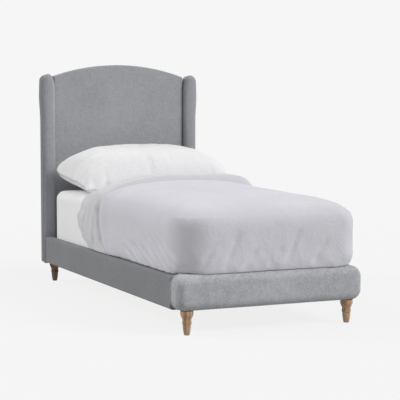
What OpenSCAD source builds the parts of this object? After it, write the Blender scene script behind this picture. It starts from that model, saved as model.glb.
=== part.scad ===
// Upholstered single bed with a winged headboard, dressed with its bedding.
// Millimetres. X runs across the bed, -Y is the foot, +Y the head, Z is up.
// The origin is on the floor, under the middle of the bed.

/* [Mattress] */
// Width of the mattress
mattress_w = 900; // [800:10:1500]
// Length of the mattress
mattress_l = 1900; // [1800:10:2050]
// Thickness of the mattress without its crown
mattress_t = 300; // [200:5:330]
// Height that the middle of the mattress stands above its edges
mattress_crown = 5; // [1:1:12]
// Corner radius of the mattress seen from above
mattress_corner_r = 70; // [50:5:90]
// Radius of the mattress's top and bottom edges
mattress_edge_r = 50; // [30:5:55]
// Gap between the mattress and each side rail
side_gap = 5; // [4:1:12]
// Gap between the mattress and the foot panel
foot_gap = 12; // [8:1:25]
// Gap between the mattress and the wings
head_gap = 28; // [25:1:60]
// Thickness of the fitted sheet
sheet_t = 1.5; // [1:0.5:2]
// Width of the sheet's hem turned under the mattress
sheet_hem_w = 80; // [60:5:120]

/* [Frame] */
// Clear height under the frame, which is the height of the legs
leg_h = 115; // [90:5:180]
// Height of the upholstered side rails
rail_h = 158; // [150:2:190]
// Thickness of the upholstered side rails
rail_t = 40; // [36:1:60]
// Thickness of the timber board in each side rail
rail_board_t = 22; // [18:1:24]
// Thickness of the foam over the top of each side rail
rail_top_foam = 10; // [6:1:14]
// Radius of the outer edges of the side rails
rail_edge_r = 14; // [8:1:16]
// Thickness of the upholstery fabric
cover_t = 2; // [1.5:0.5:3]

/* [Foot panel] */
// Height of the padded foot panel
foot_h = 168; // [160:2:200]
// Thickness of the padded foot panel
foot_t = 100; // [90:2:130]
// Corner radius of the foot panel seen from the front
foot_corner_r = 52; // [35:1:60]
// Radius of the foot panel's front edge
foot_edge_r = 42; // [25:1:48]
// Thickness of the timber board in the foot panel
foot_board_t = 30; // [24:1:34]
// Distance of the foot board's edges from the outline of the panel
foot_board_inset = 14; // [10:1:20]
// Radius of the piping round the back edge of the foot panel
piping_r = 4; // [3:0.5:5]

/* [Headboard] */
// Height of the top of the arch above the floor
headboard_h = 1313; // [1200:5:1450]
// Rise of the arch from its ends to its top
arch_rise = 73; // [40:1:110]
// Thickness of the upholstered headboard
headboard_t = 50; // [46:1:60]
// Thickness of the headboard's timbers
timber_t = 22; // [20:1:24]
// Thickness of the plywood panel
panel_t = 6; // [4:1:8]
// Thickness of the foam over the top edge of the headboard
headboard_top_foam = 6; // [4:1:10]
// Height above the frame's underside where the front upholstery starts
headboard_pad_lift = 75; // [70:5:100]
// Width of the headboard's posts
post_w = 44; // [36:2:60]
// Width of the headboard's cross rails
cross_rail_w = 65; // [50:5:90]

/* [Wings] */
// Width of each wing
wing_w = 73; // [66:1:85]
// Depth of each wing from front to back
wing_d = 80; // [74:1:110]
// Height of the wings above the ends of the arch
wing_rise = 9; // [0:1:20]
// Distance that each wing stands proud of the side rail
wing_proud = 4; // [0:1:8]
// Radius of the front edges of the wings
wing_edge_r = 20; // [12:1:22]
// Height of the shoulder on the inner side of each wing's top
wing_shoulder_h = 85; // [40:5:110]
// Thickness of the foam round each wing's timber core
wing_foam = 10; // [6:1:12]

/* [Legs] */
// Radius of each leg's top
leg_top_r = 31; // [28:1:36]
// Radius of each leg's beads
leg_bead_r = 23; // [20:0.5:26]
// Radius of each leg under its beads
leg_shank_r = 20; // [17:0.5:22]
// Radius of each leg at the floor
leg_foot_r = 14; // [11:0.5:16]
// Distance of the legs' centres from the outer faces of the rails
leg_side_inset = 66; // [60:1:80]
// Distance of the front legs' centres from the front of the foot panel
front_leg_inset = 55; // [48:1:60]
// Distance of the rear legs' centres from the back of the headboard
rear_leg_inset = 48; // [46:1:52]
// Radius of the leg bolts
leg_bolt_r = 4; // [3:0.5:5]
// Length of the leg bolts
leg_bolt_l = 96; // [80:2:110]
// Height of the timber blocks that the legs screw into
leg_block_h = 62; // [50:1:68]
// Width of the timber blocks that the legs screw into
leg_block_w = 70; // [60:2:76]

/* [Slats] */
// Width of each slat
slat_w = 70; // [50:1:80]
// Thickness of each slat
slat_t = 8; // [6:0.5:10]
// Rise of the middle of each slat above its ends
slat_bow = 6; // [3:0.5:8]
// Depth of the slats' tops below the top of the side rails
slat_drop = 18; // [14:1:30]
// Thickness of the battens that carry the slats
batten_t = 25; // [22:1:35]
// Height of the battens that carry the slats
batten_h = 40; // [30:1:42]
// Length of each slat's end inside its holder
slat_seat = 35; // [30:1:45]
// Wall thickness of the slat holders
holder_wall = 2; // [2:0.5:3]

/* [Fittings] */
// Length of each side of the corner brackets
bracket_l = 60; // [50:2:60]
// Height of the corner brackets
bracket_h = 44; // [36:2:46]
// Thickness of the corner brackets
bracket_t = 3; // [2.5:0.5:4]
// Radius of the bracket bolts
bracket_bolt_r = 3; // [2.5:0.5:3.5]
// Length of the bracket bolts under their heads
bracket_bolt_l = 24; // [18:1:24]
// Radius of the bolts that hold the wings
wing_bolt_r = 4; // [3:0.5:5]
// Depth of the wing bolts in the wings' cores
wing_bolt_grip = 30; // [20:1:34]

/* [Pillow] */
// Width of the pillow across the bed
pillow_w = 920; // [700:10:960]
// Length of the pillow along its slope
pillow_l = 580; // [480:10:640]
// Thickness of the pillow's upper swell
pillow_top_h = 196; // [120:2:220]
// Thickness of the pillow's lower swell
pillow_under_h = 84; // [60:2:96]
// Angle at which the pillow leans towards the headboard
pillow_tilt = 6; // [4:1:19]
// Height of the pillow's front seam above the mattress
pillow_front_lift = 38; // [20:1:44]
// Thickness of the pillowcase
pillowcase_t = 2; // [1.5:0.5:3]

/* [Blanket and duvet] */
// Thickness of the blanket
blanket_t = 8; // [6:1:9]
// Distance of the blanket's edge from the middle of the bed, towards the head
blanket_head = 355; // [250:5:360]
// Thickness of the duvet where it hangs down the sides
duvet_side_t = 28; // [20:1:30]
// Thickness of the duvet where it hangs down at the foot
duvet_foot_t = 91; // [30:1:100]
// Thickness of the duvet in the middle of the bed
duvet_top_t = 87; // [70:1:110]
// Distance of the duvet's edge from the middle of the bed, towards the head
duvet_head = 45; // [-100:5:100]
// Height that the blanket plumps up beyond the duvet's head edge
blanket_roll = 114; // [20:1:125]
// Thickness that the blanket gains at its sides beyond the duvet's head edge
blanket_side_gain = 14; // [2:1:18]
// Distance that the blanket's side edge flares towards the head
blanket_flare = 80; // [0:5:100]
// Distance that the blanket's hem corner lies back from its head edge
blanket_hem_back = 90; // [60:10:220]
// Distance that the duvet's hem corner lies back from its head edge
duvet_hem_back = 100; // [40:10:160]
// Height that the duvet loses towards the foot
duvet_foot_drop = 14; // [10:1:42]
// Depth of the folds in the hanging duvet
duvet_fold = 5; // [1:1:8]

/* [Hidden] */

// Clearances
rest_gap = 0.3;
hem_gap = 1.5;
fit_clear = 0.05;
slot_clear = 0.3;
over = 1;

// Plan of the bed
inner_w = mattress_w + 2 * side_gap;
bed_w = inner_w + 2 * rail_t;
bed_l = foot_t + foot_gap + mattress_l + head_gap + wing_d;
back_y = bed_l / 2;
front_y = -bed_l / 2;
foot_rear_y = front_y + foot_t;
wing_front_y = back_y - wing_d;
rail_x = inner_w / 2;
wing_outer_x = bed_w / 2 + wing_proud;
wing_inner_x = wing_outer_x - wing_w;

// Levels
rail_top_z = leg_h + rail_h;
foot_top_z = leg_h + foot_h;
slat_top_z = rail_top_z - slat_drop;
slat_end_z = slat_top_z - slat_bow - slat_t;
holder_base_z = slat_end_z - fit_clear - holder_wall;
mattress_z = slat_top_z + rest_gap;
mattress_top_z = mattress_z + mattress_t;
block_top_z = leg_h + leg_block_h;

// Headboard build-up from front to back
headboard_front_y = back_y - headboard_t;
timber_back_y = back_y - cover_t;
timber_front_y = timber_back_y - timber_t;
panel_front_y = timber_front_y - panel_t;
pad_z = leg_h + headboard_pad_lift;
arch_end_h = headboard_h - arch_rise;
arch_fn = 720;
arch_r = (pow(wing_inner_x, 2) + pow(arch_rise, 2)) / (2 * arch_rise);
arch_centre_z = headboard_h - arch_r;
timber_inset = cover_t + headboard_top_foam;
post_inner_x = wing_inner_x - cover_t - post_w;
mid_rail_z = (leg_h + arch_end_h) / 2;

// Wing details
wing_h = arch_end_h + wing_rise;
wing_outer_shoulder = 34;
wing_crown_w = 3;
wing_foot_r = 10;
wing_rear_r = 5;
wing_core_inset = cover_t + wing_foam;
wing_bolt_zs = [for (share = [0.2, 0.58, 0.86]) leg_h + share * (arch_end_h - leg_h)];
wing_bolt_y = timber_front_y + timber_t / 2;
wing_bolt_head_r = 1.6 * wing_bolt_r;
wing_bolt_head_t = 1.2 * wing_bolt_r;

// Foot panel details
cover_rear_y = foot_rear_y - 2 * piping_r;
foot_board_front_y = foot_rear_y - foot_board_t;
foot_rear_r = 4;
foot_open_r = 0.5;
piping_sunk = 1;

// Side rail details
rail_inner_r = 8;
rail_base_r = 3;

// Legs and what holds them
leg_x = bed_w / 2 - leg_side_inset;
front_leg_y = front_y + front_leg_inset;
rear_leg_y = back_y - rear_leg_inset;
leg_places = [[leg_x, front_leg_y], [leg_x, rear_leg_y]];
front_block_y = front_leg_y - leg_block_w / 2 + cover_t;
block_bevel_h = 11;
tee_flange_t = 1.5;
tee_barrel_l = 12;
tee_barrel_r = leg_bolt_r + 1.6;
tee_flange_r = leg_bolt_r + 7;
leg_bolt_base_z = block_top_z - leg_bolt_l;

// Corner fittings
bracket_z = leg_h + (leg_block_h - bracket_h) / 2;
bracket_mid_z = bracket_z + bracket_h / 2;
bracket_head_r = 1.8 * bracket_bolt_r;
bracket_head_t = 1.2 * bracket_bolt_r;
bracket_holes = [0.33, 0.8] * bracket_l;

// Slats
slat_count = 13;
slat_end_gap = 10;
slat_fn = 1440;
slat_margin = 60;
slat_half_l = rail_x - slat_end_gap;
slat_first_y = foot_rear_y + slat_margin;
slat_last_y = wing_front_y - slat_margin;
slat_pitch = (slat_last_y - slat_first_y) / (slat_count - 1);
slat_arc_r = (pow(slat_half_l, 2) + pow(slat_bow, 2)) / (2 * slat_bow);
holder_inner_x = slat_half_l - slat_seat;
slat_seat_rise = slat_bow * (1 - pow(holder_inner_x / slat_half_l, 2));
holder_h = holder_wall * 2 + slat_t + slat_seat_rise + 2 * slot_clear;
batten_end_gap = 8;
batten_front_y = foot_rear_y + batten_end_gap;
batten_back_y = wing_front_y - batten_end_gap;

// Bedding
sheet_out_x = mattress_w / 2;
crown_flat = 20;
sheet_corner_steps = 5;
sheet_edge_steps = 4;
crown_steps = 3;
sheet_foot_y = foot_rear_y + foot_gap;
sheet_head_y = sheet_foot_y + mattress_l;
blanket_in = rest_gap;
blanket_out = blanket_in + blanket_t;
duvet_in = blanket_out + rest_gap;
side_hem_z = rail_top_z + hem_gap;
foot_hem_z = foot_top_z - piping_sunk + piping_r + hem_gap;
corner_steps = 6;
least_r = 0.6;

// Finishes
upholstery = [0.56, 0.57, 0.59];
lining = [0.47, 0.48, 0.50];
foam = [0.93, 0.90, 0.78];
timber = [0.80, 0.66, 0.47];
plywood = [0.78, 0.62, 0.44];
beech = [0.86, 0.72, 0.54];
oak = [0.68, 0.52, 0.38];
steel = [0.70, 0.71, 0.73];
moulded = [0.20, 0.20, 0.21];
linen = [0.95, 0.95, 0.94];
quilt = [0.86, 0.86, 0.88];
down_cover = [0.82, 0.82, 0.85];

// One quarter of an ellipse, as points
function quarter(cx, cy, rx, ry, start, steps) =
    [for (i = [0 : steps]) let (a = start + 90 * i / steps)
        [cx + rx * cos(a), cy + ry * sin(a)]];

// A rectangle with four elliptical corners, drawn in by inset.
// The corners are given as [rx, ry] from lower right, anticlockwise.
function rounded(x0, x1, y0, y1, corners, inset, steps) =
    let (c = [for (r = corners) [max(r.x - inset, least_r), max(r.y - inset, least_r)]],
         l = x0 + inset, r = x1 - inset, f = y0 + inset, b = y1 - inset)
    concat(
        quarter(r - c[0].x, f + c[0].y, c[0].x, c[0].y, -90, steps),
        quarter(r - c[1].x, b - c[1].y, c[1].x, c[1].y, 0, steps),
        quarter(l + c[2].x, b - c[2].y, c[2].x, c[2].y, 90, steps),
        quarter(l + c[3].x, f + c[3].y, c[3].x, c[3].y, 180, steps));

function same_corners(r) = [for (i = [0 : 3]) [r, r]];

// Levels and insets that round the lower edge by r0 and the upper by r1
function edge_levels(z0, z1, r0, r1, steps) = concat(
    [for (i = [0 : steps]) let (a = 90 * i / steps) [z0 + r0 * (1 - cos(a)), r0 * (1 - sin(a))]],
    [for (i = [0 : steps]) let (a = 90 * i / steps) [z1 - r1 * (1 - sin(a)), r1 * (1 - cos(a))]]);

// Triangles across a ring of n points, from its first and last points to its middle
function zip_faces(n) =
    let (half = floor(n / 2),
         pairs = [for (i = [0 : half - 2])
             each [[i, i + 1, n - 2 - i], [i, n - 2 - i, n - 1 - i]]])
    n % 2 == 0 ? pairs : concat(pairs, [[half - 1, half, half + 1]]);

// A closed solid through rings of points, each anticlockwise seen from the last one's side
module loft(rings) {
    n = len(rings[0]);
    top = len(rings) - 1;
    points = [for (ring = rings) each ring];
    walls = [for (k = [0 : top - 1], i = [0 : n - 1])
        let (a = k * n + i, b = k * n + (i + 1) % n)
        each [[a, a + n, b + n], [a, b + n, b]]];
    floor_faces = zip_faces(n);
    roof_faces = [for (f = floor_faces) [for (i = [2, 1, 0]) f[i] + top * n]];
    polyhedron(points, concat(walls, floor_faces, roof_faces), convexity = 6);
}

// A padded block: an outline drawn in along the given levels
module padded_block(x0, x1, y0, y1, corners, levels, steps) {
    loft([for (level = levels)
        [for (p = rounded(x0, x1, y0, y1, corners, level[1], steps)) [p.x, p.y, level[0]]]]);
}

// Stands an outline drawn in X and Z upright, from depth y0 to y1
module upright(y0, y1) {
    translate([0, y1, 0]) rotate([90, 0, 0]) linear_extrude(y1 - y0) children();
}

// Draws its children on the given side of the bed
module on_side(side) {
    if (side == "right") children();
    else mirror([1, 0, 0]) children();
}

module both_sides() {
    children();
    mirror([1, 0, 0]) children();
}

// Holes and bolts

module leg_bolt_axes(r, z0, z1) {
    both_sides()
        for (p = leg_places)
            translate([p.x, p.y, z0]) cylinder(r = r, h = z1 - z0, $fn = 32);
}

module wing_bolt_axes(r, x0, x1) {
    for (z = wing_bolt_zs)
        translate([x0, wing_bolt_y, z]) rotate([0, 90, 0])
            cylinder(r = r, h = x1 - x0, $fn = 32);
}

// Bolts along X into the right side rail
module rail_bolt_axes(r, x0, x1) {
    for (offset = bracket_holes, y = [foot_rear_y + offset, wing_front_y - offset])
        translate([x0, y, bracket_mid_z]) rotate([0, 90, 0])
            cylinder(r = r, h = x1 - x0, $fn = 32);
}

// Bolts along Y into the foot board or the rear leg block, from y0 towards y1
module end_bolt_axes(r, y0, y1) {
    for (offset = bracket_holes)
        translate([rail_x - offset, y1, bracket_mid_z]) rotate([90, 0, 0])
            cylinder(r = r, h = y1 - y0, $fn = 32);
}

// Headboard

module arch(inset, half_w, z0) {
    intersection() {
        translate([0, arch_centre_z]) circle(r = arch_r - inset, $fn = arch_fn);
        translate([-half_w, z0]) square([2 * half_w, headboard_h]);
    }
}

module headboard_panel() {
    color(plywood)
        upright(panel_front_y, timber_front_y)
            arch(timber_inset, wing_inner_x - cover_t, pad_z);
}

module headboard_post(side) {
    color(timber) on_side(side) difference() {
        upright(timber_front_y, timber_back_y)
            intersection() {
                arch(timber_inset, wing_inner_x - cover_t, leg_h);
                translate([post_inner_x, leg_h]) square([post_w, headboard_h]);
            }
        wing_bolt_axes(wing_bolt_r + fit_clear, post_inner_x - over, wing_inner_x + over);
    }
}

module headboard_arch_rail() {
    color(timber)
        upright(timber_front_y, timber_back_y)
            difference() {
                arch(timber_inset, post_inner_x, mid_rail_z);
                arch(timber_inset + cross_rail_w, post_inner_x + over, mid_rail_z - over);
            }
}

module headboard_cross_rail(z0) {
    color(timber)
        upright(timber_front_y, timber_back_y)
            translate([-post_inner_x, z0]) square([2 * post_inner_x, cross_rail_w]);
}

module headboard_mid_rail() {
    headboard_cross_rail(mid_rail_z - cross_rail_w / 2);
}

module headboard_base_rail() {
    headboard_cross_rail(leg_h);
}

module headboard_padding() {
    half_w = wing_inner_x - cover_t;
    color(foam) difference() {
        upright(headboard_front_y + cover_t, timber_back_y) arch(cover_t, half_w, pad_z);
        upright(panel_front_y, timber_back_y + over)
            arch(timber_inset, half_w + over, pad_z - over);
    }
}

module headboard_front_cover() {
    color(upholstery) difference() {
        upright(headboard_front_y, timber_back_y) arch(0, wing_inner_x, pad_z);
        upright(headboard_front_y + cover_t, timber_back_y + over)
            arch(cover_t, wing_inner_x - cover_t, pad_z - over);
        both_sides()
            wing_bolt_axes(wing_bolt_r + fit_clear, post_inner_x, wing_inner_x + over);
    }
}

module headboard_back_cover() {
    color(lining)
        upright(timber_back_y, back_y) arch(0, wing_inner_x, leg_h);
}

// Wings, drawn for the right side

module wing_form(inset, front_inset, rear_extra) {
    depth = wing_d - front_inset;
    inner_shoulder = wing_w - wing_outer_shoulder - wing_crown_w;
    corners = [[wing_foot_r, wing_foot_r], [wing_outer_shoulder, wing_outer_shoulder],
               [inner_shoulder, wing_shoulder_h], [wing_foot_r, wing_foot_r]];
    levels = [for (level = edge_levels(-rear_extra, depth, wing_rear_r, wing_edge_r, corner_steps))
        [level[0], level[1] + inset]];
    translate([0, back_y, 0]) rotate([90, 0, 0])
        padded_block(wing_inner_x, wing_outer_x, leg_h, wing_h, corners, levels, corner_steps);
}

module rear_block_space(margin) {
    translate([leg_x - leg_block_w / 2 - margin, wing_front_y - margin, leg_h - margin])
        cube([leg_block_w + 2 * margin, timber_front_y - wing_front_y + 2 * margin,
              leg_block_h + 2 * margin]);
}

module wing_core_solid() {
    inset = wing_core_inset;
    translate([wing_inner_x + inset, wing_front_y + inset, block_top_z])
        cube([wing_w - 2 * inset, timber_back_y - wing_front_y - inset,
              wing_h - wing_shoulder_h - block_top_z]);
}

module wing_core(side) {
    color(timber) on_side(side) difference() {
        wing_core_solid();
        wing_bolt_axes(wing_bolt_r + fit_clear, wing_inner_x,
                       wing_inner_x + wing_core_inset + wing_bolt_grip + over);
    }
}

module wing_padding(side) {
    color(foam) on_side(side) difference() {
        wing_form(cover_t, cover_t, -cover_t);
        wing_core_solid();
        rear_block_space(0);
        wing_bolt_axes(wing_bolt_r + fit_clear, wing_inner_x - over,
                       wing_inner_x + wing_core_inset + over);
    }
}

module wing_cover(side) {
    color(upholstery) on_side(side) difference() {
        wing_form(0, 0, 0);
        wing_form(cover_t, cover_t, -cover_t);
        rear_block_space(0);
        wing_bolt_axes(wing_bolt_r + fit_clear, wing_inner_x - over,
                       wing_inner_x + wing_core_inset);
    }
}

// Side rails, drawn for the right side

module rail_outline(inset) {
    corners = [for (r = [rail_edge_r, rail_edge_r, rail_inner_r, rail_base_r]) [r, r]];
    polygon(rounded(rail_x, rail_x + rail_t, leg_h, rail_top_z, corners, inset, 8));
}

module rail_board_outline() {
    translate([rail_x + cover_t, leg_h + rail_base_r])
        square([rail_board_t, rail_h - rail_base_r - cover_t - rail_top_foam]);
}

module rail_board(side) {
    color(timber) on_side(side) difference() {
        upright(foot_rear_y, wing_front_y) rail_board_outline();
        rail_bolt_axes(bracket_bolt_r + fit_clear, rail_x, rail_x + bracket_bolt_l);
    }
}

module rail_padding(side) {
    color(foam) on_side(side)
        upright(foot_rear_y, wing_front_y) difference() {
            rail_outline(cover_t);
            rail_board_outline();
        }
}

module rail_cover(side) {
    color(upholstery) on_side(side) difference() {
        upright(foot_rear_y, wing_front_y) difference() {
            rail_outline(0);
            rail_outline(cover_t);
        }
        rail_bolt_axes(bracket_bolt_r + fit_clear, rail_x - over, rail_x + 2 * cover_t);
    }
}

module slat_batten(side) {
    color(timber) on_side(side)
        translate([rail_x - batten_t, batten_front_y, holder_base_z - batten_h])
            cube([batten_t, batten_back_y - batten_front_y, batten_h]);
}

// Foot panel

module foot_form(inset, open_rear) {
    depth = foot_t - 2 * piping_r - inset;
    rear = open_rear ? -over : 0;
    levels = [for (level = edge_levels(rear, depth, open_rear ? foot_open_r : foot_rear_r,
                                       foot_edge_r - inset, corner_steps))
        [level[0], level[1] + inset]];
    translate([0, cover_rear_y, 0]) rotate([90, 0, 0])
        padded_block(-bed_w / 2, bed_w / 2, leg_h, foot_top_z,
                     same_corners(foot_corner_r), levels, corner_steps);
}

module foot_board_solid() {
    inset = foot_board_inset;
    upright(foot_board_front_y, foot_rear_y)
        polygon(rounded(-bed_w / 2, bed_w / 2, leg_h, foot_top_z,
                        same_corners(foot_corner_r), inset, 8));
}

// The front leg block, bevelled under its front and outer edges to stay in the padding
module front_block_solid() {
    inner_x = leg_x - leg_block_w / 2;
    base_z = leg_h + cover_t;
    base_x = min(inner_x + leg_block_w, bed_w / 2 - foot_corner_r);
    base_y = max(front_block_y, front_y + foot_edge_r);
    hull() {
        translate([inner_x, base_y, base_z])
            cube([base_x - inner_x, foot_board_front_y - base_y, block_top_z - base_z]);
        translate([inner_x, front_block_y, base_z + block_bevel_h])
            cube([leg_block_w, foot_board_front_y - front_block_y,
                  block_top_z - base_z - block_bevel_h]);
    }
}

module foot_board() {
    color(timber) difference() {
        foot_board_solid();
        both_sides()
            end_bolt_axes(bracket_bolt_r + fit_clear,
                          foot_rear_y - bracket_bolt_l, foot_rear_y + over);
    }
}

module foot_padding() {
    color(foam) difference() {
        foot_form(cover_t, false);
        foot_board_solid();
        both_sides() front_block_solid();
    }
}

module foot_cover() {
    color(upholstery) difference() {
        foot_form(0, false);
        foot_form(cover_t, true);
        leg_bolt_axes(leg_bolt_r + fit_clear, leg_h - over, leg_h + 2 * cover_t);
    }
}

module foot_piping() {
    run_x = bed_w / 2 - foot_corner_r;
    run_z = foot_h / 2 - foot_corner_r;
    reach_x = bed_w / 2 - piping_sunk;
    reach_z = foot_h / 2 - piping_sunk;
    bend = foot_corner_r - piping_sunk;
    color(upholstery)
        translate([0, foot_rear_y - piping_r, leg_h + foot_h / 2]) {
            for (s = [-1, 1]) {
                translate([-run_x, 0, s * reach_z]) rotate([0, 90, 0])
                    cylinder(r = piping_r, h = 2 * run_x, $fn = 24);
                translate([s * reach_x, 0, -run_z])
                    cylinder(r = piping_r, h = 2 * run_z, $fn = 24);
            }
            for (turn = [0 : 3], sx = turn % 3 == 0 ? 1 : -1, sz = turn < 2 ? 1 : -1)
                translate([sx * run_x, 0, sz * run_z]) rotate([90, -90 * turn, 0])
                    rotate_extrude(angle = 90, $fn = 64) translate([bend, 0])
                        circle(r = piping_r, $fn = 24);
        }
}

// Legs and their fittings

module leg_block(end, side) {
    color(timber) on_side(side) difference() {
        if (end == "front") front_block_solid();
        else rear_block_space(0);
        leg_bolt_axes(leg_bolt_r + fit_clear, leg_h - over, block_top_z + over);
        leg_bolt_axes(tee_barrel_r + fit_clear, block_top_z - tee_barrel_l, block_top_z + over);
        leg_bolt_axes(tee_flange_r + fit_clear, block_top_z - tee_flange_t, block_top_z + over);
        if (end == "rear")
            end_bolt_axes(bracket_bolt_r + fit_clear,
                          wing_front_y - over, wing_front_y + bracket_bolt_l);
    }
}

// Turned outline of a leg: shank, two beads, neck and flared top
module leg_outline() {
    bead_z = 0.45 * leg_h;
    bead_h = 0.062 * leg_h;
    neck_z = bead_z + 2.3 * bead_h;
    flare_z = 0.88 * leg_h;
    neck_r = leg_shank_r + 1;
    shank = [for (i = [0 : 8]) let (t = i / 8)
        [leg_foot_r + (leg_shank_r - leg_foot_r) * sin(90 * t), 2 + (bead_z - 2) * t]];
    beads = [for (b = [0, 1], i = [0 : 8]) let (a = -90 + 180 * i / 8)
        [leg_bead_r - bead_h / 2 * (1 - cos(a)), bead_z + bead_h * (b + 0.5) + bead_h / 2 * sin(a)]];
    flare = [for (i = [0 : 10]) let (t = i / 10)
        [neck_r + (leg_top_r - neck_r) * (1 - cos(180 * t)) / 2,
         neck_z + (flare_z - neck_z) * t]];
    polygon(concat([[0, 0], [leg_foot_r - 1.5, 0]], shank, beads, flare,
                   [[leg_top_r, leg_h], [0, leg_h]]));
}

module leg(end, side) {
    y = end == "front" ? front_leg_y : rear_leg_y;
    color(oak) on_side(side) difference() {
        translate([leg_x, y, 0]) rotate_extrude($fn = 96) leg_outline();
        leg_bolt_axes(leg_bolt_r + fit_clear, leg_bolt_base_z - 1, leg_h + over);
    }
}

module leg_bolts() {
    color(steel) leg_bolt_axes(leg_bolt_r, leg_bolt_base_z, block_top_z);
}

module leg_tee_nuts() {
    color(steel) difference() {
        union() {
            leg_bolt_axes(tee_barrel_r, block_top_z - tee_barrel_l, block_top_z);
            leg_bolt_axes(tee_flange_r, block_top_z - tee_flange_t, block_top_z);
        }
        leg_bolt_axes(leg_bolt_r + fit_clear, block_top_z - tee_barrel_l - over,
                      block_top_z + over);
    }
}

// One angle bracket in each corner, on the rail and on the end of the bed
module corner_brackets() {
    color(steel) both_sides() difference() {
        union() {
            for (y = [foot_rear_y, wing_front_y - bracket_l])
                translate([rail_x - bracket_t, y, bracket_z])
                    cube([bracket_t, bracket_l, bracket_h]);
            for (y = [foot_rear_y, wing_front_y - bracket_t])
                translate([rail_x - bracket_l, y, bracket_z])
                    cube([bracket_l, bracket_t, bracket_h]);
        }
        rail_bolt_axes(bracket_bolt_r + fit_clear, rail_x - bracket_t - over, rail_x + over);
        end_bolt_axes(bracket_bolt_r + fit_clear, foot_rear_y - over,
                      foot_rear_y + bracket_t + over);
        end_bolt_axes(bracket_bolt_r + fit_clear, wing_front_y - bracket_t - over,
                      wing_front_y + over);
    }
}

module bracket_bolts() {
    face = bracket_t;
    head = bracket_t + bracket_head_t;
    color(steel) both_sides() {
        rail_bolt_axes(bracket_bolt_r, rail_x - face, rail_x + bracket_bolt_l - over);
        rail_bolt_axes(bracket_head_r, rail_x - head, rail_x - face);
        end_bolt_axes(bracket_bolt_r, foot_rear_y - bracket_bolt_l + over, foot_rear_y + face);
        end_bolt_axes(bracket_head_r, foot_rear_y + face, foot_rear_y + head);
        end_bolt_axes(bracket_bolt_r, wing_front_y - face, wing_front_y + bracket_bolt_l - over);
        end_bolt_axes(bracket_head_r, wing_front_y - head, wing_front_y - face);
    }
}

module wing_bolts() {
    color(steel) both_sides() {
        wing_bolt_axes(wing_bolt_r, post_inner_x,
                       wing_inner_x + wing_core_inset + wing_bolt_grip);
        wing_bolt_axes(wing_bolt_head_r, post_inner_x - wing_bolt_head_t, post_inner_x);
    }
}

// Slats and their holders

module slat(number) {
    y = slat_first_y + (number - 1) * slat_pitch;
    color(beech)
        upright(y - slat_w / 2, y + slat_w / 2)
            intersection() {
                difference() {
                    translate([0, slat_top_z - slat_arc_r]) circle(r = slat_arc_r, $fn = slat_fn);
                    translate([0, slat_top_z - slat_arc_r])
                        circle(r = slat_arc_r - slat_t, $fn = slat_fn);
                }
                translate([-slat_half_l, slat_end_z - slat_t])
                    square([2 * slat_half_l, slat_bow + 3 * slat_t]);
            }
}

module slat_holder(y) {
    wall = holder_wall;
    inside_w = slat_w + 2 * slot_clear;
    translate([holder_inner_x, y - inside_w / 2 - wall, holder_base_z])
        difference() {
            cube([slat_seat + slot_clear + wall, inside_w + 2 * wall, holder_h]);
            translate([-over, wall, wall])
                cube([slat_seat + slot_clear + over, inside_w, holder_h - 2 * wall]);
        }
}

module slat_holders() {
    color(moulded) both_sides()
        for (number = [1 : slat_count])
            slat_holder(slat_first_y + (number - 1) * slat_pitch);
}

// Mattress and its sheet

module mattress_form(shrink) {
    edge_r = mattress_edge_r - shrink;
    z0 = mattress_z + shrink;
    z1 = mattress_top_z - shrink;
    last = edge_r + shrink;
    rise = [for (i = [1 : crown_steps]) let (t = i / crown_steps)
        [z1 + mattress_crown * sin(90 * t), last + (sheet_out_x - last - crown_flat) * t]];
    levels = concat([for (level = edge_levels(z0, z1, edge_r, edge_r, sheet_edge_steps))
        [level[0], level[1] + shrink]], rise);
    padded_block(-sheet_out_x, sheet_out_x, sheet_foot_y, sheet_head_y,
                 same_corners(mattress_corner_r), levels, sheet_corner_steps);
}

module mattress() {
    color(linen) mattress_form(sheet_t);
}

module fitted_sheet() {
    open = sheet_hem_w;
    color(linen) difference() {
        mattress_form(0);
        mattress_form(sheet_t);
        translate([-sheet_out_x + open, sheet_foot_y + open, mattress_z - over])
            cube([mattress_w - 2 * open, mattress_l - 2 * open, sheet_t + 2 * over]);
    }
}

// Pillow: two swells that meet in a seam, with corners drawn out to points

pillow_stations = 14;
pillow_girth = 14;
pillow_end_share = 0.999;
pillow_draw_share = 0.07;
pillow_front_draw_share = 0.03;
pillow_rear_gap = 62;
pillow_run = pillow_l * cos(pillow_tilt);
pillow_mid_y = headboard_front_y - pillow_rear_gap - pillow_run / 2;
pillow_base_z = mattress_top_z + mattress_crown + rest_gap;
pillow_mid_z = pillow_base_z + pillow_front_lift + pillow_l / 2 * sin(pillow_tilt);

// Height of a swell at a place on the seam's plane, from -1 to 1 each way.
// The right end is the fuller one.
function swell(u, v) =
    pow(max(1 - pow(abs(u), u < 0 ? 2.8 : 4), 0), u < 0 ? 0.55 : 0.38)
    * pow(max(1 - pow(abs(v), 4), 0), 0.46);

// A point of the pillow's surface; shrink moves it inwards
function pillow_point(u, v, h, shrink) =
    let (x = (pillow_w / 2 - shrink * 2) * u
             * (1 - pillow_draw_share * (1 - v * v) * u * u
                - pillow_front_draw_share * pow((1 - v) / 2, 2)),
         s = (pillow_l / 2 - shrink * 2) * v * (1 - pillow_draw_share * (1 - u * u) * v * v),
         up = (h > 0 ? h - shrink : h + shrink) * swell(u, v),
         y = pillow_mid_y + s * cos(pillow_tilt) - up * sin(pillow_tilt) / 2,
         z = pillow_mid_z + s * sin(pillow_tilt) + up * cos(pillow_tilt))
    [x, min(y, headboard_front_y - rest_gap - shrink), max(z, pillow_base_z + shrink)];

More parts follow.
